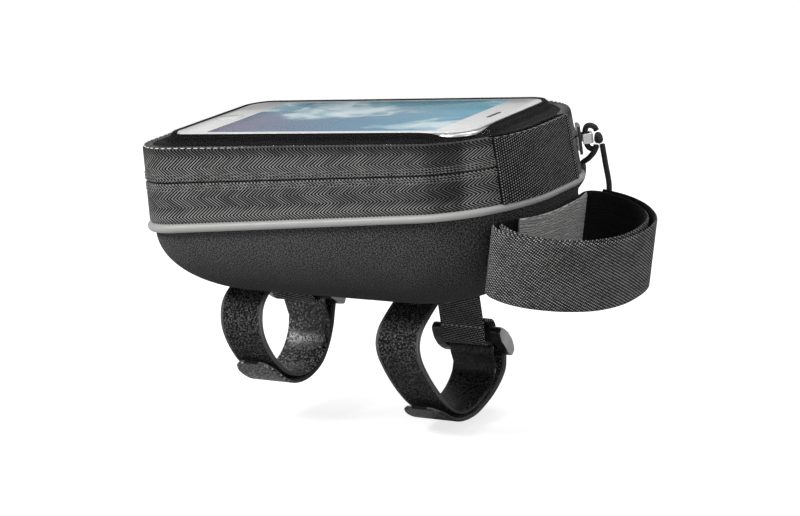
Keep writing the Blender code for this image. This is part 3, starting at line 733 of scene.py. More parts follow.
def wavy_ribs() -> bpy.types.NodeTree:
    """Fine ribs that run along the webbing and waver."""
    group = WeaveGroup("Wavy ribs", Pitch=0.9)
    g, given = group.graph, group.given
    waver = g.noise(g.joined(g.maths("MULTIPLY", group.u, 0.35), g.maths("MULTIPLY", group.v, 0.6)), 1.0, 3.0)
    row = g.maths("DIVIDE", g.maths("MULTIPLY_ADD", waver, 2.2, group.v), given["Pitch"])
    fibre = g.wave(g.maths("DIVIDE", g.maths("MULTIPLY_ADD", group.v, 0.3, group.u), 0.55))
    height = g.frayed(g.wave(row), fibre, 0.35)
    return group.finish(height, g.random(g.joined(g.maths("FLOOR", row), 0.0)))


def braid() -> bpy.types.NodeTree:
    """Strands that cross round a cord."""
    group = WeaveGroup("Braid", Length=1.7, Width=1.15)
    g, given = group.graph, group.given
    run, turn = g.maths("DIVIDE", group.u, given["Length"]), g.maths("DIVIDE", group.v, given["Width"])
    left, right = g.maths("ADD", run, turn), g.maths("SUBTRACT", run, turn)
    over = g.step(g.maths("SUBTRACT", g.wave(left), g.wave(right)), -0.3, 0.3)
    height = g.maths("MAXIMUM", g.maths("MULTIPLY", g.wave(left), over),
                     g.maths("MULTIPLY", g.wave(right), g.maths("SUBTRACT", 1.0, over)))
    cell = g.random(g.joined(g.maths("FLOOR", left), g.maths("FLOOR", right)))
    return group.finish(height, cell)


WEAVES: dict[Weave, Callable[[], bpy.types.NodeTree]] = {
    Weave.HERRINGBONE: herringbone,
    Weave.STAGGERED: staggered,
    Weave.PILE: loop_pile,
    Weave.GRAIN: fine_grain,
    Weave.RIBS: wavy_ribs,
    Weave.BRAID: braid,
}


class Workshop:
    """Makes the shared node groups once and hands them out."""

    def __init__(self) -> None:
        """Start with no groups made."""
        self.made: dict[Weave, bpy.types.NodeTree] = {}

    def weave(self, kind: Weave) -> bpy.types.NodeTree:
        """The node group of a weave."""
        if kind not in self.made:
            self.made[kind] = WEAVES[kind]()
        return self.made[kind]


WORKSHOP = Workshop()


@dataclass(frozen=True)
class Cloth:
    """A woven finish.

    Attributes:
        name: the material's name.
        weave: the pattern of its threads.
        sizes: the pattern's sizes, in millimetres.
        low: the colour between the threads.
        high: the colour of the raised threads.
        spread: how far threads differ in brightness.
        depth: how far the threads stand up, in metres.
        roughness: how matte it is.
        sheen: how much soft light its fibres catch.
        selvage: the strap's width, where its two edges are smoother and lighter.
        shine: how strongly it mirrors light.
        patches: how dark its dullest patches are.
        turned: how far its pattern is turned, in radians.
        shades: painted shade and painted highlight, as a brightness that changes along X, Y, Z or the
        pattern's V: the axis, from 0 to 3, two places on it and the share of brightness at each.
    """

    name: str
    weave: Weave
    sizes: dict[str, float]
    low: Colour
    high: Colour
    spread: float = 0.35
    depth: float = 0.00025
    roughness: float = 0.8
    sheen: float = 0.04
    selvage: float = 0.0
    shine: float = 0.18
    patches: float = 0.8
    shades: tuple[Shade, ...] = ()
    turned: float = 0.0

    def material(self) -> bpy.types.Material:
        """Build the material, or find the one that was built before."""
        if self.name in bpy.data.materials:
            return bpy.data.materials[self.name]
        made, graph, shader = blank_material(self.name)
        place = graph.node("ShaderNodeUVMap", uv_map="UVMap").outputs[0]
        if self.turned:
            place = graph.node("ShaderNodeMapping", {0: place, 2: (0.0, 0.0, self.turned)}).outputs[0]
        pattern = graph.node("ShaderNodeGroup", node_tree=WORKSHOP.weave(self.weave))
        graph.tree.links.new(place, pattern.inputs["Place"])
        for size, value in self.sizes.items():
            pattern.inputs[size].default_value = value
        height, thread = pattern.outputs["Height"], pattern.outputs["Thread"]
        patches = graph.noise(place, 0.11, 3.0)
        lit = graph.maths("MULTIPLY_ADD", thread, self.spread, 1.0 - self.spread / 2)
        lit = graph.maths("MULTIPLY", lit, graph.step(patches, 0.3, 0.7, self.patches, 2.0 - self.patches))
        # Painted shade and highlight: the brightness is scaled by place, as listed in shades.
        if self.shades:
            spots = (*graph.split(graph.node("ShaderNodeTexCoord").outputs["Object"]), graph.split(place)[1])
        for axis, start, end, first, last in self.shades:
            lit = graph.maths("MULTIPLY", lit, graph.step(spots[axis], start, end, first, last))
        share = graph.maths("MULTIPLY", height, lit)
        if self.selvage:
            share, height = self.edges(graph, share, height)
        graph.tree.links.new(graph.colour(share, self.low, self.high), shader.inputs["Base Color"])
        rough = graph.maths("MULTIPLY_ADD", height, -0.12, self.roughness)
        graph.tree.links.new(rough, shader.inputs["Roughness"])
        bump = graph.node("ShaderNodeBump", {"Height": height, "Distance": self.depth, "Strength": 1.0})
        graph.tree.links.new(bump.outputs[0], shader.inputs["Normal"])
        shader.inputs["Specular IOR Level"].default_value = self.shine
        shader.inputs["Sheen Weight"].default_value = self.sheen
        shader.inputs["Sheen Roughness"].default_value = 0.4
        return made

    def edges(self, graph: Graph, share: Socket, height: Socket) -> tuple[Socket, Socket]:
        """Smooth and lighten the two edges of a strap.

        Args:
            graph: the material's nodes.
            share: the brightness of the weave.
            height: the height of the weave.

        Returns:
            The brightness and the height, with the edges in them.
        """
        _, across, _ = graph.split(graph.node("ShaderNodeUVMap", uv_map="UVMap").outputs[0])
        reach = self.selvage / MM / 2
        edge = graph.step(graph.maths("ABSOLUTE", across), reach - 1.9, reach - 1.2)
        ridge = graph.wave(graph.maths("DIVIDE", graph.maths("ABSOLUTE", across), 0.8))
        share = graph.maths("ADD", graph.maths("MULTIPLY", share, graph.maths("SUBTRACT", 1.0, edge)),
                            graph.maths("MULTIPLY", edge, graph.maths("MULTIPLY_ADD", ridge, 0.25, 0.45)))
        height = graph.maths("ADD", graph.maths("MULTIPLY", height, graph.maths("SUBTRACT", 1.0, edge)),
                             graph.maths("MULTIPLY", edge, ridge))
        return share, height


@dataclass(frozen=True)
class Plain:
    """A smooth finish with a little wear, and where asked a painted shade along the bag.

    Attributes:
        name: the material's name.
        colour: its colour.
        worn: the colour of its rubbed patches.
        roughness: how matte it is.
        metallic: 1 for bare metal.
        coat: how much clear coat it has.
        grain: the size of its surface grain, in metres.
        depth: how deep the grain is, in metres.
        fade: where along the bag its painted shade starts and where it reaches full dark, or nothing; with
            it, the far side is painted dark as well.
        shine: how strongly it mirrors light.
    """

    name: str
    colour: Colour
    worn: Colour
    roughness: float
    metallic: float = 0.0
    coat: float = 0.0
    grain: float = 1.0 * MM
    depth: float = 0.00001
    fade: tuple[float, float] = ()
    shine: float = 0.5

    def material(self) -> bpy.types.Material:
        """Build the material, or find the one that was built before."""
        if self.name in bpy.data.materials:
            return bpy.data.materials[self.name]
        made, graph, shader = blank_material(self.name)
        place = graph.node("ShaderNodeTexCoord").outputs["Object"]
        rubbed = graph.step(graph.noise(place, 60.0, 4.0), 0.45, 0.75)
        grain = graph.noise(place, 1.0 / self.grain, 2.0)
        colour = graph.colour(rubbed, self.colour, self.worn)
        # Painted shade: the colour is darkened toward the front and on the far side, where a painted glint
        # fades.
        if self.fade:
            x, y, _ = graph.split(place)
            dark = graph.maths("MAXIMUM", graph.step(x, *self.fade), graph.step(y, -0.02, 0.0))
            colour = graph.colour(dark, colour, (0.02, 0.02, 0.02))
        graph.tree.links.new(colour, shader.inputs["Base Color"])
        rough = graph.maths("MULTIPLY_ADD", rubbed, 0.08, self.roughness)
        graph.tree.links.new(rough, shader.inputs["Roughness"])
        bump = graph.node("ShaderNodeBump", {"Height": grain, "Distance": self.depth, "Strength": 1.0})
        graph.tree.links.new(bump.outputs[0], shader.inputs["Normal"])
        shader.inputs["Specular IOR Level"].default_value = self.shine
        shader.inputs["Metallic"].default_value = self.metallic
        shader.inputs["Coat Weight"].default_value = self.coat
        shader.inputs["Coat Roughness"].default_value = 0.08
        return made


def blank_material(name: str) -> tuple[bpy.types.Material, Graph, bpy.types.Node]:
    """A new material with its nodes and its Principled BSDF."""
    made = bpy.data.materials.new(name)
    made.use_nodes = True
    return made, Graph(made.node_tree), made.node_tree.nodes["Principled BSDF"]


def zip_tape(name: str, column: float, offset: float, *shades: Shade) -> Cloth:
    """The cloth of one zip tape, with painted shade and a painted highlight where the band turns at the
    front.

    Args:
        name: the material's name.
        column: the width of the weave's columns.
        offset: where the first column starts, over the zip line.
        shades: the painted shade and highlight across this tape, from its zip edge to its other edge.

    Returns:
        The finish.
    """
    sizes = {"Pitch": 1.6, "Column": column, "Slant": 1.5, "Offset": offset}
    # Painted shade and highlight along the bag: a little darker toward the front, a dark valley before the
    # front corner and a bright band where the band turns.
    bends = ((0, 0.0, 0.035, 0.95, 0.8), (0, 0.046, 0.056, 1.0, 0.4), (0, 0.063, 0.068, 1.0, 3.6))
    return Cloth(name, Weave.HERRINGBONE, sizes, (0.002, 0.002, 0.002), (0.42, 0.42, 0.414), 0.5, 0.0004,
                 0.85, 0.02, shades=(*bends, *shades))


# Painted shade across each tape: the upper tape darkens near the rim; the lower tape is darker in its middle
# and brighter under the zip and at its bottom edge.
UPPER_TAPE = zip_tape("upper zip tape", 4.0, 1.2, (3, 7.0, 12.0, 1.1, 0.3))
LOWER_TAPE = zip_tape("lower zip tape", 3.5, -9.2, (3, -6.0, -1.0, 0.85, 1.2), (3, -12.5, -9.5, 1.9, 1.0))
WEBBING = Cloth("front webbing", Weave.STAGGERED, {"Length": 1.15, "Width": 0.95, "Shift": 0.3},
                (0.003, 0.003, 0.003), (0.42, 0.42, 0.414), 0.7, 0.0005, 0.85, turned=math.radians(90))
TWILL = Cloth("head strap twill", Weave.STAGGERED, {"Length": 1.3, "Width": 0.62, "Shift": 0.36},
              (0.01, 0.01, 0.01), (0.55, 0.55, 0.544), 0.8, 0.0003, 0.85, turned=math.radians(-24))
BRUSHED = Cloth("brushed strap back", Weave.RIBS, {"Pitch": 0.7}, (0.003, 0.003, 0.003),
                (0.011, 0.011, 0.011), 0.4, 0.00012, 0.9, 0.02, shine=0.1)
RIBBED = Cloth("ribbed keeper", Weave.RIBS, {"Pitch": 1.0}, (0.2, 0.2, 0.197), (0.62, 0.62, 0.612), 0.3,
               0.0003, 0.8)
PILE = Cloth("loop pile", Weave.PILE, {"Loop": 0.8}, (0.003, 0.003, 0.003), (0.24, 0.24, 0.236), 1.0, 0.0004,
             0.85, selvage=20.0 * MM)
# The grip side's near-white pebble tops are partly a painted highlight for the shine of its pebbles; they are
# painted bright at the rear strap and almost dark at the front, as painted shade.
GRIP = Cloth("strap grip side", Weave.PILE, {"Loop": 1.05}, (0.001, 0.001, 0.001), (0.9, 0.9, 0.89), 0.9,
             0.0009, 0.34, 0.0, shine=0.6, shades=((0, -0.03, 0.01, 0.9, 0.03),))
TAB = Cloth("ring tab twill", Weave.STAGGERED, {"Length": 1.1, "Width": 0.6, "Shift": 0.4},
            (0.006, 0.006, 0.006), (0.5, 0.5, 0.494), 0.6, 0.0003, 0.8, turned=math.radians(20))
# Painted shade on the shell: darker toward its bottom, and lighter toward the rear than toward the front.
SHELL = Cloth("moulded shell fabric", Weave.GRAIN, {"Pitch": 1.0}, (0.004, 0.0038, 0.004),
              (0.125, 0.121, 0.124), 0.3, 0.0002, 0.85, 0.05, patches=0.92,
              shades=((2, 0.0, 0.024, 0.45, 1.1), (0, -0.07, 0.08, 1.25, 0.75)))
LINING = Cloth("grey lining", Weave.GRAIN, {"Pitch": 0.9}, (0.05, 0.05, 0.052), (0.12, 0.12, 0.124), 0.3,
               0.0001, 0.9)
PIPING = Cloth("reflective piping", Weave.GRAIN, {"Pitch": 0.5}, (0.37, 0.365, 0.36),
               (0.47, 0.465, 0.46), 0.2, 0.00004, 0.4, shine=0.5)
BRAIDED = Cloth("braided cord", Weave.BRAID, {"Length": 1.5, "Width": 1.15}, (0.004, 0.004, 0.004),
                (0.06, 0.06, 0.06), 0.9, 0.0002, 0.6)
THREAD = Plain("light thread", (0.62, 0.62, 0.61), (0.4, 0.4, 0.39), 0.6)
# The rim thread's light colour is partly a painted glint; it is painted dark toward the front and on the far
# side, where the glint fades.
RIM_GLINT_THREAD = Plain("rim thread", (0.75, 0.75, 0.74), (0.5, 0.5, 0.49), 0.6, fade=(-0.052, -0.016))
ZIP_THREAD = Plain("zip thread", (0.2, 0.2, 0.197), (0.09, 0.09, 0.09), 0.6)
NYLON = Plain("nylon teeth", (0.01, 0.01, 0.01), (0.03, 0.03, 0.03), 0.35)
PADDING = Plain("black window surround", (0.003, 0.003, 0.003), (0.005, 0.005, 0.005), 0.6, shine=0.03)
CASE = Plain("satin phone case", (0.75, 0.75, 0.76), (0.68, 0.68, 0.7), 0.28, metallic=0.9)
FACE = Plain("white phone face", (0.86, 0.86, 0.86), (0.82, 0.82, 0.82), 0.1, coat=0.4)
RECESS = Plain("dark recess", (0.02, 0.02, 0.022), (0.03, 0.03, 0.03), 0.5)
ENAMEL = Plain("black enamel", (0.008, 0.008, 0.008), (0.03, 0.03, 0.03), 0.3, coat=0.5)
CHROME = Plain("bright chrome", (0.85, 0.85, 0.86), (0.75, 0.75, 0.76), 0.12, metallic=1.0)
RING = Plain("moulded ring", (0.008, 0.008, 0.008), (0.03, 0.03, 0.03), 0.3, coat=0.3, depth=0.00003)
RING_END = Plain("ring end facet", (0.45, 0.45, 0.45), (0.6, 0.6, 0.6), 0.45, depth=0.00003)


def film_material() -> bpy.types.Material:
    """Clear flexible film, with faint ripples, which shows a little more where it is seen at a slant."""
    made, graph, shader = blank_material("clear window film")
    place = graph.node("ShaderNodeTexCoord").outputs["Object"]
    ripple = graph.noise(place, 26.0, 1.0)
    bump = graph.node("ShaderNodeBump", {"Height": ripple, "Distance": 0.0006, "Strength": 1.0})
    graph.tree.links.new(bump.outputs[0], shader.inputs["Normal"])
    slant = graph.node("ShaderNodeLayerWeight", {"Blend": 0.3}).outputs["Facing"]
    graph.tree.links.new(graph.maths("MULTIPLY_ADD", slant, 0.05, 0.03), shader.inputs["Alpha"])
    shader.inputs["Base Color"].default_value = (0.02, 0.02, 0.02, 1.0)
    shader.inputs["Roughness"].default_value = 0.06
    shader.inputs["IOR"].default_value = 1.5
    return made


def display_material() -> bpy.types.Material:
    """A lit display with soft clouds of blue, teal and violet."""
    made, graph, shader = blank_material("phone display")
    place = graph.node("ShaderNodeTexCoord").outputs["Object"]
    across, up, _ = graph.split(place)
    flat = graph.joined(across, graph.maths("MULTIPLY", up, 1.4))
    swirl = graph.node("ShaderNodeTexNoise", {"Vector": flat, "Scale": 20.0, "Detail": 3.0}).outputs["Color"]
    drift = graph.node("ShaderNodeVectorMath", {0: swirl, 3: 0.05}, operation="SCALE").outputs[0]
    moved = graph.node("ShaderNodeVectorMath", {0: flat, 1: swirl, 2: drift}, operation="MULTIPLY_ADD")
    cloud = graph.noise(moved.outputs[0], 42.0, 6.0)
    tint = graph.noise(moved.outputs[0], 13.0, 2.0)
    base = graph.colour(graph.step(across, -0.06, 0.05), (0.05, 0.09, 0.2), (0.09, 0.32, 0.44))
    base = graph.colour(graph.step(tint, 0.42, 0.62), base, (0.02, 0.22, 0.31))
    warm = graph.maths("MULTIPLY", graph.step(tint, 0.55, 0.35), graph.step(across, -0.01, -0.05, 0.1, 0.8))
    base = graph.colour(warm, base, (0.2, 0.1, 0.2))
    base = graph.colour(graph.step(cloud, 0.5, 0.68), base, (0.55, 0.68, 0.72))
    graph.tree.links.new(base, shader.inputs["Base Color"])
    graph.tree.links.new(base, shader.inputs["Emission Color"])
    shader.inputs["Emission Strength"].default_value = 0.15
    shader.inputs["Specular IOR Level"].default_value = 0.25
    shader.inputs["Roughness"].default_value = 0.1
    return made


# The pieces


@dataclass
class Shell:
    """The moulded tub under the band."""

    wall: float = 3.0 * MM
    setback: float = 2.0 * MM
    seat: Outline = Outline(45.0 * MM, 47.0 * MM, 26.0 * MM, 16.0 * MM, 16.0 * MM)
    channel_width: float = 20.6 * MM
    channel_depth: float = 0.8 * MM
    levels: int = 22
    lip: float = 1.9 * MM

    def build(self) -> None:
        """Make the tub with its lining, and the lip that stands up behind the piping."""
        height = -(BAND.tape_drop + 2 * BAND.clearance + BAND.piping_room)
        outline = BAND.outline(self.setback, height)
        track = Track(outline, spacing=2.5 * MM)
        top = BAND.line(track, self.setback, height)
        bottom = track.line(self.seat, lambda x: 0.0)
        rise = BAND.matrix.to_3x3() @ Vector((0.0, 0.0, self.lip))
        rows, along, run = [[point + rise for point in top]], [-self.lip], 0.0
        for step in range(self.levels + 1):
            turn = math.pi / 2 * step / self.levels
            inward, down = 1.0 - math.cos(turn), math.sin(turn)
            row = [Vector((*high.xy.lerp(low.xy, inward), high.z + (low.z - high.z) * down))
                   for high, low in zip(top, bottom)]
            if step:
                run += max((a - b).length for a, b in zip(row, rows[-1]))
            rows.append(row)
            along.append(run)
        piece = Grid(rows, track.distances, along, ring=True, caps=(self.levels + 1,)).mesh("shell_cover")
        flat_uv(piece)
        thickened(piece, self.wall)
        inner = len(piece.data.polygons) // 2
        for index, face in enumerate(piece.data.polygons):
            face.material_index = int(index >= inner)
        for run in (REAR_RUN, FRONT_RUN):
            self.cut_channel(piece, run.x)
        finish_piece(piece, Body.BAG, Slot.SHELL, (SHELL.material(), LINING.material()), ("shell",))

    def cut_channel(self, piece: bpy.types.Object, x: float) -> None:
        """Cut the shallow channel that one tube strap is sewn into.

        Args:
            piece: the tub.
            x: the middle of the strap.
        """
        made = bmesh.new()
        size = Matrix.Diagonal((self.channel_width, 2 * BAND.half_width, 2 * self.channel_depth, 1.0))
        bmesh.ops.create_cube(made, size=1.0, matrix=Matrix.Translation((x, 0.0, 0.0)) @ size)
        cutter = placed("channel", made)
        cut = piece.modifiers.new("channel", "BOOLEAN")
        cut.operation = "DIFFERENCE"
        cut.solver = "EXACT"
        cut.object = cutter
        applied(piece)
        bpy.data.objects.remove(cutter)


def flat_uv(piece: bpy.types.Object) -> None:
    """Lay the UV map of a piece's flat underside out in millimetres."""
    layer = piece.data.uv_layers["UVMap"].data
    for face in piece.data.polygons:
        if len(face.vertices) > 4:
            for loop in face.loop_indices:
                point = piece.data.vertices[piece.data.loops[loop].vertex_index].co
                layer[loop].uv = (point.x / MM, point.y / MM)


@dataclass
class Band:
    """The zip tapes, their coil and stitches, the front webbing and the piping."""

    coil_thickness: float = 1.5 * MM
    webbing_thickness: float = 1.7 * MM
    webbing_proud: float = 0.9 * MM
    webbing_overhang: float = 1.5 * MM
    piping_radius: float = 1.65 * MM
    piping_proud: float = 1.1 * MM
    tape_overhang: float = 0.8 * MM
    tape_tongue: float = 1.1 * MM
    soft_edge: float = 0.4 * MM
    seam_margin: float = 0.46
    fold_reach: float = 2.0 * MM
    tooth_step: float = 1.5 * MM
    gap: float = 0.3 * MM

    def __post_init__(self) -> None:
        """Lay out the run of the zip."""
        zip_line = BAND.outline(0.0, -BAND.zip_drop)
        self.run = Track(zip_line, (BAND.far_seam, 360.0 + BAND.near_seam), 1.6 * MM)
        self.round = Track(zip_line, spacing=1.6 * MM)

    def build(self) -> None:
        """Make every piece of the band."""
        self.upper_tape()
        self.lower_tape()
        self.teeth("coil_upper", 1.0, Body.LID, "upper_zip_coil")
        self.teeth("coil_lower", -1.0, Body.BAG, "lower_zip_coil")
        self.zip_stitches()
        self.rim_stitches()
        self.webbing()
        self.piping()

    def tape(self, name: str, section: Sequence[tuple[float, float]], body: Body, node: str,
             cloth: Cloth) -> None:
        """Loft one tape from its section.

        Args:
            name: the piece's name.
            section: insets and heights round the tape, from its zip edge up or down the outer face.
            body: the body that it rides on.
            node: the CAD node that it stands for.
            cloth: what it is woven like.
        """
        rows = []
        for inset, height in section:
            line = BAND.line(self.run, inset, height)
            rows.append([self.rumpled(point, inset) for point in line])
        along = [height + BAND.zip_drop - inset for inset, height in section]
        along.append(along[0])
        piece = Grid(rows, self.run.distances, along, wrap=True, ends=True).mesh(name, 50.0)
        finish_piece(piece, body, Slot.TAPE, (cloth.material(),), (node,))

    @staticmethod
    def rumpled(point: Vector, inset: float) -> Vector:
        """Move a point of the outer face a little, as soft tape lies."""
        if inset > 0.5 * MM:
            return point
        return point + Vector((0.0, 0.15 * MM, 0.0)) * noise.noise(point * 90.0)

    def face(self, start: float, end: float) -> list[tuple[float, float]]:
        """The section of a tape's outer face, from its soft edge at the zip to a height."""
        near, steps = start + math.copysign(self.soft_edge, end - start), 7
        climb = [(0.0, near + (end - near) * step / steps) for step in range(1, steps + 1)]
        return [(0.25 * MM, start), (0.0, near)] + climb

    def upper_tape(self) -> None:
        """The tape over the zip, which turns in over the rim."""
        thick, bottom = BAND.tape_thickness, -(BAND.zip_drop - self.gap)
        turn = [(thick * (1.0 - math.cos(math.radians(a))), -thick * (1.0 - math.sin(math.radians(a))))
                for a in (30, 60, 90)]
        inner = [(BAND.turn_in, 0.0), (BAND.turn_in, -thick), (thick, -thick), (thick, bottom)]
        section = self.face(bottom, -thick) + turn + inner
        self.tape("zip_tape_upper", section, Body.LID, "upper_zip_tape", UPPER_TAPE)

    def lower_tape(self) -> None:
        """The tape under the zip, down to the piping, with a tongue that reaches into it."""
        thick, top = BAND.tape_thickness, -(BAND.zip_drop + self.gap)
        edge = -(BAND.tape_drop + self.tape_overhang)
        tongue, back = edge - self.tape_tongue, 0.45 * thick
        section = self.face(top, edge + self.soft_edge)
        section += [(0.3 * MM, edge), (back, edge), (back, tongue), (thick, tongue), (thick, top)]
        self.tape("zip_tape_lower", section, Body.BAG, "lower_zip_tape", LOWER_TAPE)

    def teeth(self, name: str, side: float, body: Body, node: str) -> None:
        """One half of the coil, whose teeth reach just past the zip line."""
        inset = BAND.tape_thickness + BAND.clearance + self.coil_thickness / 2
        shift = Track(BAND.outline(0.0, -BAND.zip_drop),
                      (BAND.far_seam + 1.0 + 0.6 * side, 360.0 + BAND.near_seam - 1.0 + 0.6 * side), 1.5 * MM)
        line = BAND.line(shift, inset, -BAND.zip_drop + side * 0.85 * MM)
        tooth = Repeat(self.tooth_step, (0.42 * MM, 0.7 * MM, 1.05 * MM), upright=True)
        core = [(inset + depth * MM, side * level * MM - BAND.zip_drop)
                for depth, level in ((-0.4, 0.05), (-0.4, 1.7), (0.4, 1.7), (0.4, 0.05))]
        rows = [BAND.line(shift, *place) for place in (core if side > 0 else core[::-1])]
        strip = Grid(rows, shift.distances, [index * MM for index in range(5)], wrap=True, ends=True)
        teeth = tooth.along(f"{name}_teeth", line, NYLON.material())
        piece = joined(name, [teeth, strip.mesh(f"{name}_core")])
        finish_piece(piece, body, Slot.COIL, (NYLON.material(),), (node,))

    def zip_stitches(self) -> None:
        """Three rows of small stitches each side of the zip line, which hold the coil."""
        dot = Repeat(1.35 * MM, (0.46 * MM, 0.22 * MM, 0.22 * MM))
        for end, side, body in (("upper", 1.0, Body.LID), ("lower", -1.0, Body.BAG)):
            name, rows = f"zip_stitches_{end}", []
            for index, off in enumerate((0.9, 1.9, 2.9)):
                line = BAND.line(self.run, -0.08 * MM, -BAND.zip_drop + side * off * MM)
                rows.append(dot.along(f"{name}_{index}", line, ZIP_THREAD.material()))
            finish_piece(joined(name, rows), body, Slot.TAPE, (ZIP_THREAD.material(),))

    def rim_stitches(self) -> None:
        """The stitches that hold the window film to the rim; their light colour is partly a painted glint."""
        line = BAND.line(self.run, 0.6 * MM, 0.02 * MM)
        stitch = Repeat(3.1 * MM, (1.15 * MM, 0.34 * MM, 0.2 * MM))
        piece = stitch.along("rim_stitches", line, RIM_GLINT_THREAD.material())
        finish_piece(piece, Body.LID, Slot.PIPING, (RIM_GLINT_THREAD.material(),))

    def webbing(self) -> None:
        """The webbing that closes the front, in one piece across the lid's fold."""
        ends = (BAND.near_seam + self.seam_margin, BAND.far_seam - self.seam_margin)
        track = Track(BAND.outline(0.0, -BAND.zip_drop), ends, 0.9 * MM)
        outer, inner = -self.webbing_proud, self.webbing_thickness - self.webbing_proud
        steps = 26
        drop = BAND.tape_drop + self.webbing_overhang
        heights = [-drop * step / steps for step in range(steps + 1)]
        total = track.distances[-1]
        rows = []
        for height in heights:
            line = BAND.line(track, outer, height)
            middle = BAND.line(track, outer + 1.0 * MM, height)
            row = []
            for point, under, run in zip(line, middle, track.distances):
                edge = min(run, total - run)
                hem = math.exp(-((edge - 1.2 * MM) / (0.8 * MM)) ** 2)
                seam = math.exp(-((edge - 2.9 * MM) / (0.7 * MM)) ** 2)
                sag = 0.25 * MM * noise.noise(Vector((run * 70.0, height * 70.0, 3.0)))
                row.append(point + (point - under).normalized() * (0.35 * MM * (hem - seam) + sag))
            rows.append(row)
        rows += [BAND.line(track, inner, height) for height in reversed(heights)]
        along = heights + list(reversed(heights)) + [heights[0]]
        piece = Grid(rows, track.distances, along, wrap=True, ends=True).mesh("front_webbing", 50.0)
        piece.data.materials.append(WEBBING.material())
        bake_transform(piece)
        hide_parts("upper_front_webbing", "lower_front_webbing")
        LOG.info("front_webbing bends from the bag to the lid")

    def piping(self) -> None:
        """The covered cord in the seam between band and shell."""
        centre = self.piping_radius - self.piping_proud
        height = self.piping_radius - BAND.tape_drop - BAND.clearance - BAND.piping_room
        sides = 18
        rows, along, slots = [], [], []
        for side in range(sides):
            turn = math.tau * side / sides
            inset = centre - self.piping_radius * math.cos(turn)
            rows.append(BAND.line(self.round, inset, height + self.piping_radius * math.sin(turn)))
            along.append(self.piping_radius * turn)
            slots.append(int(math.cos(turn + math.pi / sides) < -0.1))
        along.append(self.piping_radius * math.tau)
        grid = Grid(rows, self.round.distances, along, ring=True, wrap=True, slots=slots)
        finish_piece(grid.mesh("piping_cover", 80.0), Body.BAG, Slot.PIPING,
                     (PIPING.material(), LINING.material()), ("piping",))


@dataclass
class Window:
    """The clear film, the black surround under it and the pocket's floor."""

    edge: float = 0.8 * MM
    thickness: float = 0.5 * MM
    floor_thickness: float = 1.2 * MM
    floor_setback: float = 6.4 * MM
    ridge: float = 0.93
    ridge_width: float = 0.06
    film_ridge: float = 0.7 * MM
    pad_ridge: float = 0.45 * MM
    corner_dip: float = 3.2 * MM
    corner_reach: float = 9.0 * MM
    rise: tuple[tuple[float, float], ...] = (
        (0.0, 0.0), (0.2, 0.0), (0.5, 0.2), (0.78, 0.72), (0.93, 0.96), (1.0, 1.0))

    def build(self) -> None:
        """Make the film, the surround and the floor."""
        self.track = Track(BAND.outline(self.edge, 0.0), spacing=2.0 * MM)
        self.film()
        self.surround()
        self.floor()

    def between(self, share: float, offset: float) -> Level:
        """A level part of the way from the rim to the phone's face, raised by an offset."""
        low, high = BAND.level(0.0), PHONE.level(0.0)
        return lambda x: low(x) + (high(x) - low(x)) * bent(self.rise, share) + offset

    def bulge(self, share: float, height: float) -> float:
        """How far the padded edge round the phone stands up."""
        return height * math.exp(-((share - self.ridge) / self.ridge_width) ** 2)

    def film(self) -> None:
        """The film, flat over the phone and falling to the rim all round it."""
        rim, phone = BAND.outline(self.edge, 0.0), PHONE.outline(-2 * BAND.clearance)
        rows, along = [], []
        steps = 26
        for step in range(steps + 1):
            share = step / steps
            level = self.between(share, BAND.clearance + self.thickness + self.bulge(share, self.film_ridge))
            rows.append([BAND.matrix @ point for point in self.track.line(rim.mix(phone, share), level)])
            along.append(12.0 * MM * share)
        piece = Grid(rows, self.track.distances, along, ring=True, caps=(steps,)).mesh("window_cover", 60.0)
        thickened(piece, self.thickness)
        finish_piece(piece, Body.LID, Slot.FILM, (film_material(),), ("window_film",))

    def surround(self) -> None:
        """The black padding between the rim and the phone."""
        floor_top = -(PHONE.thickness + BAND.clearance)
        outer = BAND.outline(BAND.tape_thickness + BAND.clearance, 0.0)
        step = BAND.outline(BAND.turn_in + BAND.clearance, 0.0)
        inner = PHONE.outline(-BAND.clearance)
        under = BAND.level(-(BAND.tape_thickness + BAND.clearance))
        low = PHONE.level(floor_top + BAND.clearance)
        lines = [(outer, low), (outer, under), (step, under)]
        shares = 20
        for index in range(shares + 1):
            share = index / shares
            lift = self.bulge(share, self.pad_ridge) - 0.5 * MM * math.sin(math.pi * share)
            lines.append((step.mix(inner, share), self.between(share, lift)))
        lines += [(inner, PHONE.level(-PHONE.thickness / 4)), (inner, low)]
        rows = [[BAND.matrix @ point for point in self.track.line(*line)] for line in lines]
        for index in range(shares + 1):
            rows[3 + index] = [self.dipped(point, index / shares) for point in rows[3 + index]]
        along = [2.0 * MM * index for index in range(len(rows) + 1)]
        piece = Grid(rows, self.track.distances, along, ring=True, wrap=True).mesh("window_padding", 50.0)
        finish_piece(piece, Body.LID, Slot.PADDING, (PADDING.material(),), ("window_surround",))

    def dipped(self, point: Vector, share: float) -> Vector:
        """Lower the padding at the phone's near front corner, where its bright side shows."""
        corner = Vector((PHONE.centre_x + PHONE.length / 2 - 5.0 * MM, 2.0 * MM - PHONE.width / 2))
        near = math.exp(-((point.xy - corner).length / self.corner_reach) ** 2)
        return point - Vector((0.0, 0.0, self.corner_dip * share ** 2 * near))

    def floor(self) -> None:
        """The padded floor under the phone."""
        outline = BAND.outline(self.floor_setback, 0.0)
        top = -(PHONE.thickness + BAND.clearance)
        soft = 0.35 * MM
        bottom = top - self.floor_thickness
        lines = [(outline.inset(soft), top), (outline, top - soft), (outline, bottom + soft),
                 (outline.inset(soft), bottom)]
        rows = [[BAND.matrix @ point for point in self.track.line(at, PHONE.level(level))]
                for at, level in lines]
        piece = Grid(rows, self.track.distances, [0.0, soft, 2 * soft, 3 * soft], ring=True,
                     caps=(0, 3)).mesh("pocket_floor", 60.0)
        finish_piece(piece, Body.LID, Slot.PADDING, (LINING.material(),), ("phone_pocket_floor",))


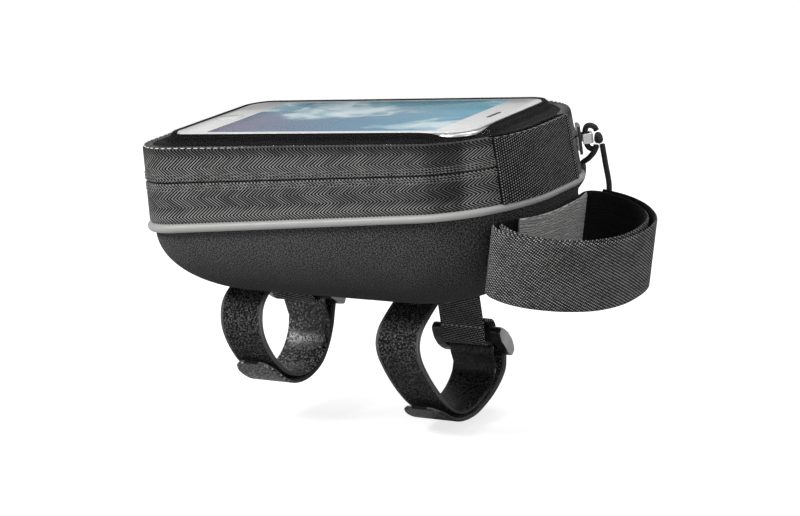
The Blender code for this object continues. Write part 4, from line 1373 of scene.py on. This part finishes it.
@dataclass
class Phone:
    """The phone: case, white face, lit display and its small openings."""

    glass: float = 0.8 * MM
    glass_inset: float = 1.1 * MM
    edge: float = 1.2 * MM
    sunk: float = 0.1 * MM

    def build(self) -> None:
        """Make the phone's pieces."""
        face = -(self.glass / 2 + BAND.clearance)
        self.slab("phone_case", PHONE.outline(), face, -PHONE.thickness, self.edge, Slot.CASE,
                  CASE.material(), ("phone_body",))
        self.slab("phone_face", PHONE.outline(self.glass_inset), 0.0, face + 0.05 * MM, 0.25 * MM,
                  Slot.GLASS, FACE.material(), ("phone_screen",))
        half_x, half_y = PHONE.display_length / 2, PHONE.display_width / 2
        display = Outline(half_x + PHONE.centre_x, half_x - PHONE.centre_x, half_y, 0.4 * MM, 0.4 * MM)
        self.slab("phone_display", display, 0.06 * MM, -self.sunk, 0.03 * MM, Slot.GLASS, display_material())
        centre = PHONE.centre_x + PHONE.length / 2 - 8.2 * MM
        slot = Outline(centre + 0.8 * MM, -(centre - 0.8 * MM), 5.2 * MM, 0.79 * MM, 0.79 * MM)
        self.slab("phone_earpiece", slot, 0.08 * MM, -self.sunk, 0.03 * MM, Slot.GLASS, RECESS.material())
        button = PHONE.centre_x - PHONE.length / 2 + 8.6 * MM
        for name, reach, top, material in (("phone_button_rim", 5.4 * MM, 0.08 * MM, CASE.material()),
                                           ("phone_button", 5.0 * MM, 0.12 * MM, FACE.material())):
            disc = Outline(button + reach, reach - button, reach, reach * 0.99, reach * 0.99)
            self.slab(name, disc, top, -self.sunk, 0.02 * MM, Slot.GLASS, material)

    @staticmethod
    def slab(name: str, outline: Outline, top: float, bottom: float, edge: float, slot: Slot,
             material: bpy.types.Material, nodes: Sequence[str] = ()) -> None:
        """A flat piece parallel to the phone's face, with rounded edges.

        Args:
            name: the piece's name.
            outline: its outline.
            top: its top over the phone's face.
            bottom: its bottom over the phone's face.
            edge: the radius of its edges.
            slot: the record's slot.
            material: what it is made of.
            nodes: the CAD nodes that it stands for.
        """
        track = Track(outline, spacing=1.2 * MM)
        profile = []
        for degrees in (0, 30, 60, 90):
            turn = math.radians(degrees)
            profile.append((edge * (1.0 - math.sin(turn)), top - edge * (1.0 - math.cos(turn))))
        profile += [(inset, top + bottom - level) for inset, level in reversed(profile)]
        rows = [[BAND.matrix @ point for point in track.line(outline.inset(inset), PHONE.level(level))]
                for inset, level in profile]
        along = lengths([row[0] for row in rows])
        piece = Grid(rows, track.distances, along, ring=True, caps=(0, len(rows) - 1)).mesh(name, 60.0)
        finish_piece(piece, Body.LID, slot, (material,), nodes)


@dataclass
class Pull:
    """The slider, its bright bridge, and the cord knotted through it."""

    angle: float = 32.0
    length: float = 11.0 * MM
    stand_off: float = 1.0 * MM
    plate: float = 1.1 * MM
    plate_height: float = 11.0 * MM
    drop: float = 1.9 * MM
    neck: float = 0.5 * MM
    inner_height: float = 4.4 * MM
    inner_gap: float = 3.8 * MM
    bridge_length: float = 7.6 * MM
    bridge_reach: float = 4.1 * MM
    bridge_strip: float = 1.0 * MM
    bridge_width: float = 3.9 * MM
    cord_radius: float = 1.1 * MM
    knot_radius: float = 2.4 * MM
    knot_depth: float = 1.9 * MM
    knot_drop: float = 0.8 * MM

    def at(self, outward: float, sideways: float, height: float) -> Vector:
        """A place near the slider: outward of the tape, along the zip and over the zip line."""
        outline = BAND.outline(0.0, -BAND.zip_drop)
        turn = math.radians(self.angle)
        away = Vector((math.cos(turn), math.sin(turn), 0.0))
        along = Vector((-math.sin(turn), math.cos(turn), 0.0))
        corner = outline.corner(0, self.angle)
        flat = Vector((corner.x, corner.y, height - BAND.zip_drop))
        return BAND.matrix @ (flat + away * outward + along * sideways)

    def hung(self, points: Sequence[tuple[float, float, float]], spacing: float) -> list[Vector]:
        """A smooth run of cord through places near the slider, in millimetres, over the bridge's middle."""
        return [self.at(point.x, point.y, point.z - self.drop) for point in smooth(points, spacing)]

    def build(self) -> None:
        """Make the slider, the bridge and the cord."""
        self.slider()
        self.bridge()
        self.cords()

    def slider(self) -> None:
        """Two plates joined by a neck, bent to the band's corner."""
        half = math.degrees(self.length / 2 / BAND.front_corner)
        track = Track(BAND.outline(0.0, -BAND.zip_drop), (self.angle - half, self.angle + half), 1.0 * MM)
        outer = -(self.stand_off + self.plate)
        plate, neck, tongue = self.plate_height / 2, self.neck / 2, self.inner_height / 2
        inner, back = self.inner_gap, self.inner_gap + self.plate
        section = [
            (outer, plate - self.drop), (-self.stand_off, plate - self.drop), (-self.stand_off, neck),
            (inner, neck), (inner, tongue), (back, tongue), (back, -tongue), (inner, -tongue), (inner, -neck),
            (-self.stand_off, -neck), (-self.stand_off, -plate - self.drop), (outer, -plate - self.drop),
        ]
        rows = []
        for inset, height in section:
            outline = BAND.outline(inset, -BAND.zip_drop)
            rows.append([BAND.matrix @ point
                         for point in track.line(outline, lambda x, height=height: height - BAND.zip_drop)])
        along = [index * MM for index in range(len(rows) + 1)]
        piece = Grid(rows, track.distances, along, wrap=True, ends=True).mesh("slider_plates", 30.0)
        rounded(piece, 0.22 * MM)
        finish_piece(piece, Body.SLIDER, Slot.ENAMEL, (ENAMEL.material(),), ("zip_slider",))

    def bridge(self) -> None:
        """The bright arch that the cord passes through."""
        foot = self.stand_off + self.plate + BAND.clearance
        reach, half = foot + self.bridge_reach, self.bridge_length / 2
        bend, strip = 1.3 * MM, self.bridge_strip
        outer, inner = [], []
        for end in (-1.0, 1.0):
            for side, inward, radius in ((outer, 0.0, bend), (inner, strip, bend - strip + 0.15 * MM)):
                part = [(foot, end * (half - inward))]
                for step in range(7):
                    turn = math.radians(15.0 * step)
                    part.append((reach - inward - radius + radius * math.sin(turn),
                                 end * (half - inward - radius + radius * math.cos(turn))))
                side += part if end < 0 else part[::-1]
        shape = outer + inner[::-1]
        rows = [[self.at(*place, height - self.drop) for place in shape]
                for height in (-self.bridge_width / 2, self.bridge_width / 2)]
        run = lengths(rows[0])
        grid = Grid(rows, run + [run[-1] + MM], [0.0, self.bridge_width], ring=True, caps=(0, 1))
        piece = rounded(grid.mesh("bright_bridge", 30.0), 0.18 * MM)
        finish_piece(piece, Body.SLIDER, Slot.CHROME, (CHROME.material(),), ("slider_bridge",))

    def tube(self, name: str, path: Sequence[Vector], node: str) -> bpy.types.Object:
        """A braided cord along a path, with rounded ends.

        Args:
            name: the piece's name.
            path: the points of its centre line.
            node: the CAD node that it stands for.

        Returns:
            The new piece.
        """
        sides = 14
        run = lengths(path)
        normal = (path[1] - path[0]).orthogonal().normalized()
        rows = []
        for index, point in enumerate(path):
            ahead = (path[min(index + 1, len(path) - 1)] - path[max(index - 1, 0)]).normalized()
            normal = (normal - ahead * normal.dot(ahead)).normalized()
            side = ahead.cross(normal)
            rows.append([point + (normal * math.cos(math.tau * turn / sides)
                                  + side * math.sin(math.tau * turn / sides)) * self.cord_radius
                         for turn in range(sides)])
        columns = [[row[turn] for row in rows] for turn in range(sides)]
        along = [self.cord_radius * math.tau * turn / sides for turn in range(sides + 1)]
        made = Grid(columns, run, along, wrap=True, ends=True).mesh(name, 60.0)
        return finish_piece(made, Body.SLIDER, Slot.CORD, (BRAIDED.material(),), (node,))

    def cords(self) -> None:
        """The eye through the bridge, the knot, and the loop that hangs from it."""
        plate = (self.stand_off + self.plate) / MM
        reach = self.stand_off + self.plate + self.bridge_reach + 2 * BAND.clearance + self.knot_depth
        knot = reach / MM
        eye = [(knot - 0.3, 1.2, 2.0), (knot - 0.9, 1.2, 3.4), (knot - 2.4, 1.2, 4.3),
               (plate + 2.7, 1.2, 4.1), (plate + 1.9, 1.2, 2.6), (plate + 1.75, 1.2, 0.0),
               (plate + 1.9, 1.2, -2.6), (plate + 2.7, 1.2, -4.3), (knot - 2.4, 1.2, -5.0),
               (knot - 1.4, 1.2, -4.4), (knot - 1.1, 1.2, -3.5)]
        loop = [(knot - 1.1, -1.4, -3.5), (knot - 2.5, -1.4, -5.8), (knot - 4.7, 1.0, -8.4),
                (knot - 6.8, 5.6, -10.6), (knot - 6.4, 11.0, -13.6), (knot - 7.2, 14.6, -18.2),
                (knot - 10.4, 15.8, -23.0), (knot - 8.8, 14.2, -28.0), (knot - 4.2, 10.8, -30.4),
                (knot + 0.6, 7.0, -27.8), (knot + 2.2, 4.2, -21.0), (knot + 1.6, 1.4, -11.0),
                (knot + 1.1, -0.2, -3.5)]
        eye_piece = self.tube("cord_eye", self.hung(eye, 0.6 * MM), "pull_cord_eye")
        path = self.hung(loop, 1.0 * MM)
        loop_piece = self.tube("cord_loop", path, "pull_cord_loop")
        knot_piece = self.knot(reach)
        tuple(path[0])
        lengths(path)[-1]

    def knot(self, reach: float) -> bpy.types.Object:
        """The knot, two crossed turns of cord drawn tight over a core."""
        turn = math.radians(self.angle)
        place = Matrix.Translation(self.at(reach, 0.0, -(self.drop + self.knot_drop)))
        place = place @ BAND.matrix.to_3x3().to_4x4() @ Matrix.Rotation(turn, 4, "Z")
        rings, sides = 20, 30
        rows = []
        for ring in range(1, rings):
            polar = math.pi * ring / rings
            row = []
            for side in range(sides):
                round_ = math.tau * side / sides
                swell = 1.0 - 0.12 * abs(math.sin(1.5 * polar + round_)) ** 6
                swell -= 0.1 * abs(math.cos(2.0 * polar - round_)) ** 8
                row.append(place @ Vector((
                    self.knot_depth * swell * math.sin(polar) * math.cos(round_),
                    self.knot_radius * swell * math.sin(polar) * math.sin(round_),
                    self.knot_radius * swell * math.cos(polar),
                )))
            rows.append(row)
        across = [self.knot_radius * math.tau * side / sides for side in range(sides + 1)]
        along = [self.knot_radius * math.pi * ring / rings for ring in range(rings - 1)]
        piece = Grid(rows, across, along, ring=True, caps=(0, rings - 2)).mesh("cord_knot", 80.0)
        return finish_piece(piece, Body.SLIDER, Slot.CORD, (BRAIDED.material(),), ("pull_cord_knot",))


@dataclass
class Ribbon:
    """A strap that follows a path, with soft edges and its own UV map.

    Attributes:
        path: its middle line.
        across: the direction of its width.
        width: its width.
        thickness: its thickness.
        shares: how much of its width it has at each point, or nothing for all of it.
    """

    path: Sequence[Vector]
    across: Vector
    width: float
    thickness: float
    shares: Sequence[float] = ()

    def grid(self) -> Grid:
        """The strap as rows of points: 9 over its left face, and 9 back over its right one."""
        over = self.across.normalized()
        shares = self.shares or [1.0] * len(self.path)
        half, soft = self.width / 2, self.thickness * 0.45
        flats = [half * share for share in (-0.82, -0.5, -0.2, 0.2, 0.5, 0.82)]
        flats = [soft - half] + flats + [half - soft]
        profile = [(-half, 0.0)] + [(flat, self.thickness / 2) for flat in flats] + [(half, 0.0)]
        profile += [(flat, -self.thickness / 2) for flat in reversed(flats)]
        rows: list[list[Vector]] = [[] for _ in profile]
        for index, (point, share) in enumerate(zip(self.path, shares)):
            run = self.path[min(index + 1, len(self.path) - 1)] - self.path[max(index - 1, 0)]
            normal = run.cross(over).normalized()
            for row, (side, up) in zip(rows, profile):
                row.append(point + over * side * share + normal * up)
        along = [side for side, _ in profile] + [-half]
        slots = [0] * 9 + [1] * 9
        return Grid(rows, lengths(self.path), along, wrap=True, ends=True, slots=slots)


@dataclass
class HeadStrap:
    """The strap for the head tube and the keeper sewn over it."""

    pitch: float = math.radians(10.0)
    top: float = 36.0 * MM
    width: float = 27.0 * MM
    thickness: float = 1.4 * MM
    keeper_thickness: float = 1.2 * MM
    keeper_height: float = 23.0 * MM
    keeper_raise: float = 3.0 * MM

    def build(self) -> None:
        """Make the strap and the keeper."""
        inner_end = [(-3.5, -36.4), (5, -41.2), (14, -40.6), (23.2, -36.2), (31.2, -27.4), (36.2, -13),
                     (35.6, 4), (31.4, 15.5), (23, 24), (13, 28.2), (4.6, 27.6)]
        against_shell = [(1.0, 22.5), (3.0, 12), (3.4, 0), (3.0, -12), (1.0, -22.5), (-2.8, -30.5)]
        outer_end = [(-5.2, -37.4), (-3.6, -41.6), (1.6, -44.2), (8.8, -44.9), (17, -42.9), (26.8, -36.9),
                     (35, -27), (39.4, -12.5), (38.8, 5), (34.2, 17.2), (26, 26.4), (15.6, 31.2), (5, 31.4)]
        up = Vector((math.sin(self.pitch), 0.0, math.cos(self.pitch)))
        path = [self.at(point) for point in smooth(inner_end + against_shell + outer_end, 1.4 * MM)]
        strap = Ribbon(path, up, self.width, self.thickness).grid().mesh("head_strap_cover", 50.0)
        finish_piece(strap, Body.BAG, Slot.STRAP, (TWILL.material(), BRUSHED.material()), ("head_strap",))

        behind = smooth([(1.8, 19), (3.0, 12), (3.4, 0), (3.0, -12), (1.0, -22.5), (-1.4, -28)], 1.4 * MM)
        outward = (self.thickness + self.keeper_thickness) / 2 + 1.3 * BAND.clearance
        path = []
        for index, point in enumerate(behind):
            run = behind[min(index + 1, len(behind) - 1)] - behind[max(index - 1, 0)]
            beside = point + Vector((-run.y, run.x)).normalized() * outward
            path.append(self.at(beside) + up * self.keeper_raise)
        keeper = Ribbon(path, up, self.keeper_height, self.keeper_thickness).grid().mesh("keeper_cover", 50.0)
        finish_piece(keeper, Body.BAG, Slot.RIBBED, (RIBBED.material(),) * 2, ("head_strap_keeper",))

    def at(self, point: Vector) -> Vector:
        """A place on the strap's middle line, from its plan in front of the band."""
        up = Vector((math.sin(self.pitch), 0.0, math.cos(self.pitch)))
        ahead = Vector((math.cos(self.pitch), 0.0, -math.sin(self.pitch)))
        origin = Vector((BAND.front, 0.0, self.top)) - up * self.width / 2
        return origin + ahead * point.x + Vector((0.0, point.y, 0.0))


@dataclass(frozen=True)
class StrapRun:
    """Where one tube strap runs, seen from the front, in millimetres of (y, z)."""

    name: str
    x: float
    inner_run: tuple[tuple[float, float], ...]
    outer_run: tuple[tuple[float, float], ...]
    ring_centre: tuple[float, float]
    ring_lean: float
    leaving: float
    tab_root: float


REAR_RUN = StrapRun(
    "rear",
    -45.8 * MM,
    ((-8, -0.4), (-17, -0.4), (-23.5, -2.6), (-27.8, -6.6), (-29.3, -11.8), (-28.8, -17.2), (-26.2, -23),
     (-21.8, -29.3), (-16, -35.2), (-9, -39.4), (-1, -41.3), (7, -40.3), (14, -36.3), (18.6, -30.3),
     (20.2, -24)),
    ((24.2, -22.5), (22.4, -27.8), (18.4, -34.6), (12.5, -40.4), (4, -43.4), (-4, -43.6), (-11, -41.9),
     (-17, -38.4), (-22, -34), (-25, -31)),
    (17.75, -12.5),
    55.0,
    -65.0,
    -6.0,
)
FRONT_RUN = StrapRun(
    "front",
    24.0 * MM,
    ((4, -0.4), (-3, -0.9), (-9.5, -3.8), (-17.5, -7.8), (-23.8, -11.9), (-26.6, -16.8), (-26, -22.2),
     (-22.8, -28), (-18, -34.6), (-11.6, -41.8), (-5, -47.7), (2, -51.8), (9.5, -53.2), (17.5, -52.3),
     (25, -49.6), (30.6, -45.2), (32.5, -41)),
    ((41.2, -40), (40, -44.6), (36, -48.4), (30, -51.8), (24, -54), (16, -55.9), (8.5, -56.1), (1, -54.9),
     (-4.5, -52.6), (-10, -49), (-13.5, -46.5)),
    (32.2, -30.5),
    38.0,
    -30.0,
    11.0,
)


@dataclass
class TubeStrap:
    """A strap round the top tube, with its ring and the tab that holds the ring."""

    run: StrapRun
    width: float = 20.0 * MM
    thickness: float = 1.3 * MM
    tip: float = 9.0 * MM
    tip_share: float = 0.35
    ring_length: float = 32.0 * MM
    ring_height: float = 15.8 * MM
    ring_thickness: float = 5.8 * MM
    bar: float = 5.2 * MM
    ring_corner: float = 1.2 * MM
    slot_corner: float = 1.6 * MM
    wrap_aside: float = 5.1 * MM
    wrap_along: float = 4.25 * MM
    channel_depth: float = 0.8 * MM
    neck_rise: float = 2.6 * MM
    stitch_away: float = 2.35 * MM

    def __post_init__(self) -> None:
        """Work out the ring's directions."""
        lean = math.radians(self.run.ring_lean)
        self.up = Vector((0.0, -math.sin(lean), math.cos(lean)))
        self.side = Vector((0.0, math.cos(lean), math.sin(lean)))
        self.centre = Vector((self.run.x, self.run.ring_centre[0] * MM, self.run.ring_centre[1] * MM))

    def build(self) -> None:
        """Make the strap, the ring and the tab."""
        self.strap()
        self.ring()
        self.tab()

    def bar_centre(self, side: float) -> Vector:
        """Middle of the ring's top bar, for side 1, or of its bottom bar, for side -1."""
        return self.centre + self.up * (self.ring_height - self.bar) / 2 * side

    def flat(self, points: Sequence[tuple[float, float]], spacing: float) -> list[Vector]:
        """A smooth run through (y, z) points in the strap's plane."""
        return [Vector((self.run.x, point.x, point.y)) for point in smooth(points, spacing)]

    def arc(self, centre: Vector, first: float, last: float) -> list[Vector]:
        """A tight turn about a bar, between two angles in degrees from the ring's far face."""
        steps = 24
        turns = [math.radians(first + (last - first) * step / steps) for step in range(steps + 1)]
        wide, tall = self.side * self.wrap_aside, self.up * self.wrap_along
        return [centre + wide * math.cos(turn) + tall * math.sin(turn) for turn in turns]

    def strap(self) -> None:
        """The strap, down round the tube, up through the ring and back on itself."""
        path = self.flat(self.run.inner_run, 1.2 * MM)
        path += self.arc(self.bar_centre(-1.0), 180.0 - self.run.ring_lean / 2, self.run.leaving)
        path += self.flat(self.run.outer_run, 1.2 * MM)
        left, shares = 0.0, [self.tip_share]
        for here, after in zip(reversed(path[:-1]), reversed(path[1:])):
            left += (after - here).length
            fill = min(1.0, left / self.tip)
            shares.append(self.tip_share + (1.0 - self.tip_share) * math.sqrt(1.0 - (1.0 - fill) ** 2))
        ribbon = Ribbon(path, Vector((1.0, 0.0, 0.0)), self.width, self.thickness, shares[::-1])
        piece = ribbon.grid().mesh(f"{self.run.name}_strap_cover", 50.0)
        finish_piece(piece, Body.BAG, Slot.STRAP, (PILE.material(), GRIP.material()),
                     (f"{self.run.name}_tube_strap",))

    def ring(self) -> None:
        """The moulded ring."""
        slot = self.width / 2 + self.slot_corner + BAND.clearance
        reach, tall, half = self.ring_length / 2, self.ring_height / 2, self.ring_thickness / 2
        inner = Outline(slot, slot, tall - self.bar, self.slot_corner, self.slot_corner)
        profile = [(-1.0, 0.43), (-0.93, 0.53), (-0.8, 0.7), (-0.55, 0.93), (-0.4, 0.985), (-0.2, 1.0)]
        profile += [(-level, share) for level, share in reversed(profile)]
        corner = self.ring_corner
        lines = [(Outline(reach, reach, tall * share, corner, corner), half * level)
                 for level, share in profile]
        track = Track(lines[5][0], spacing=1.0 * MM)
        lines += [(inner, half * level) for level, _ in reversed(profile)]
        rows = []
        for line, level in lines:
            flat = track.line(line, lambda x, level=level: level)
            rows.append([self.centre + Vector((point.x, 0.0, 0.0)) + self.up * point.y + self.side * point.z
                         for point in flat])
        along = [index * 0.5 * MM for index in range(len(rows) + 1)]
        piece = Grid(rows, track.distances, along, ring=True, wrap=True).mesh(f"{self.run.name}_ring", 40.0)
        for face in piece.data.polygons:
            face.material_index = int(abs(face.center.x - self.run.x) > reach - 0.2 * MM)
        finish_piece(piece, Body.BAG, Slot.RING, (RING.material(), RING_END.material()),
                     (f"{self.run.name}_strap_ring",))

    def tab(self) -> None:
        """The short webbing that comes out from under the bag and folds round the ring's top bar."""
        high = self.bar_centre(1.0)
        drop = self.thickness / 2 + 1.3 * BAND.clearance - self.channel_depth
        neck = high + self.up * (self.wrap_along + self.neck_rise)
        snug = self.thickness / 2 + BAND.clearance / 2
        bend = Vector((self.run.x, neck.y - 4.0 * MM, -drop - 1.0 * MM))
        tight = neck - self.side * snug
        inside = [Vector((self.run.x, self.run.tab_root * MM, -drop)),
                  Vector((self.run.x, bend.y - 5.0 * MM, -drop)), bend, bend.lerp(tight, 0.3), tight]
        path = self.flat([(point.y / MM, point.z / MM) for point in inside], 1.0 * MM)
        path += self.arc(high, 140.0, 400.0)
        path.append(neck + self.side * snug)
        grid = Ribbon(path, Vector((1.0, 0.0, 0.0)), self.width, self.thickness).grid()
        piece = grid.mesh(f"{self.run.name}_tab_cover", 50.0)
        finish_piece(piece, Body.BAG, Slot.STRAP, (TAB.material(),) * 2, (f"{self.run.name}_ring_tab",))
        self.tab_stitches(neck)

    def tab_stitches(self, neck: Vector) -> None:
        """The line of stitches across the tab that closes it over the bar."""
        away = -self.side * self.stitch_away
        reach = Vector((self.width / 2 - 1.5 * MM, 0.0, 0.0))
        line = [neck + away - reach - self.up * 0.8 * MM, neck + away + reach - self.up * 0.8 * MM]
        stitch = Repeat(1.9 * MM, (0.65 * MM, 0.24 * MM, 0.24 * MM))
        piece = stitch.along(f"{self.run.name}_tab_stitches", line, THREAD.material())
        finish_piece(piece, Body.BAG, Slot.STRAP, (THREAD.material(),))


# Studio


@dataclass
class Studio:
    """The camera, the lamps and the floor."""

    eye: tuple[float, float, float] = (0.60198, -0.98192, 0.29168)
    right: tuple[float, float, float] = (0.86310808, 0.50117, -0.0622252)
    up: tuple[float, float, float] = (-0.0679053, 0.23727, 0.96906582)
    ahead: tuple[float, float, float] = (-0.50042708, 0.83219, -0.23882198)
    lens: float = 135.0
    floor_height: float = -60.0 * MM

    def build(self) -> None:
        """Make the camera first, then the floor and the light."""
        self.camera()
        self.floor()
        self.world()
        self.lamp("key", (-0.8, -0.9, 1.1), 0.5, 21.0)
        self.lamp("fill", (1.2, -0.7, 0.5), 0.8, 5.0)
        self.lamp("top", (0.1, 0.5, 1.4), 0.9, 12.0)
        bpy.context.scene.view_settings.view_transform = "Standard"

    def camera(self) -> None:
        """The camera at the photograph's view."""
        data = bpy.data.cameras.new("camera")
        data.lens = self.lens
        data.clip_start = 0.05
        holder = bpy.data.objects.new("camera", data)
        turn = Matrix((Vector(self.right), Vector(self.up), -Vector(self.ahead))).transposed().to_4x4()
        turn.translation = Vector(self.eye)
        holder.matrix_world = turn
        bpy.context.scene.collection.objects.link(holder)
        bpy.context.scene.camera = holder

    def floor(self) -> None:
        """A plain white floor that keeps the object's soft shadow."""
        made = bmesh.new()
        bmesh.ops.create_grid(made, x_segments=1, y_segments=1, size=6.0,
                              matrix=Matrix.Translation((0.0, 0.0, self.floor_height)))
        piece = placed("floor", made)
        material, graph, shader = blank_material("white floor")
        shader.inputs["Base Color"].default_value = (0.45, 0.45, 0.45, 1.0)
        shader.inputs["Roughness"].default_value = 0.9
        shader.inputs["Emission Color"].default_value = (1.0, 1.0, 1.0, 1.0)
        seen = graph.node("ShaderNodeLightPath").outputs["Is Camera Ray"]
        graph.tree.links.new(graph.maths("MULTIPLY", seen, 0.75), shader.inputs["Emission Strength"])
        piece.data.materials.append(material)

    @staticmethod
    def world() -> None:
        """Soft light from all round, and white where the camera or a mirror sees past the floor."""
        world = bpy.data.worlds.new("studio")
        world.use_nodes = True
        graph = Graph(world.node_tree)
        sky = world.node_tree.nodes["Background"]
        sky.inputs["Color"].default_value = (1.0, 1.0, 1.0, 1.0)
        path = graph.node("ShaderNodeLightPath").outputs
        seen = graph.maths("MAXIMUM", path["Is Camera Ray"], path["Is Transmission Ray"])
        shine = graph.maths("MULTIPLY", path["Is Glossy Ray"], 0.45)
        strength = graph.maths("MAXIMUM", graph.maths("MAXIMUM", seen, shine), 0.25)
        graph.tree.links.new(strength, sky.inputs["Strength"])
        bpy.context.scene.world = world

    @staticmethod
    def lamp(name: str, place: tuple[float, float, float], size: float, power: float) -> None:
        """A square soft lamp that faces the bag.

        Args:
            name: the lamp's name.
            place: where it hangs.
            size: the side of its square.
            power: its power in watts.
        """
        data = bpy.data.lights.new(name, "AREA")
        data.size = size
        data.energy = power
        holder = bpy.data.objects.new(name, data)
        holder.location = place
        holder.rotation_euler = (Vector((0.0, 0.0, 0.03)) - Vector(place)).to_track_quat("-Z", "Y").to_euler()
        bpy.context.scene.collection.objects.link(holder)


def main() -> None:
    """Build the studio and then each part of the bag."""
    logging.basicConfig(level=logging.INFO, format="%(name)s: %(message)s")
    Studio().build()
    Pull().build()
    Shell().build()
    Band().build()
    Window().build()
    Phone().build()
    HeadStrap().build()
    for run in (REAR_RUN, FRONT_RUN):
        TubeStrap(run).build()


if __name__ == "__main__":
    main()
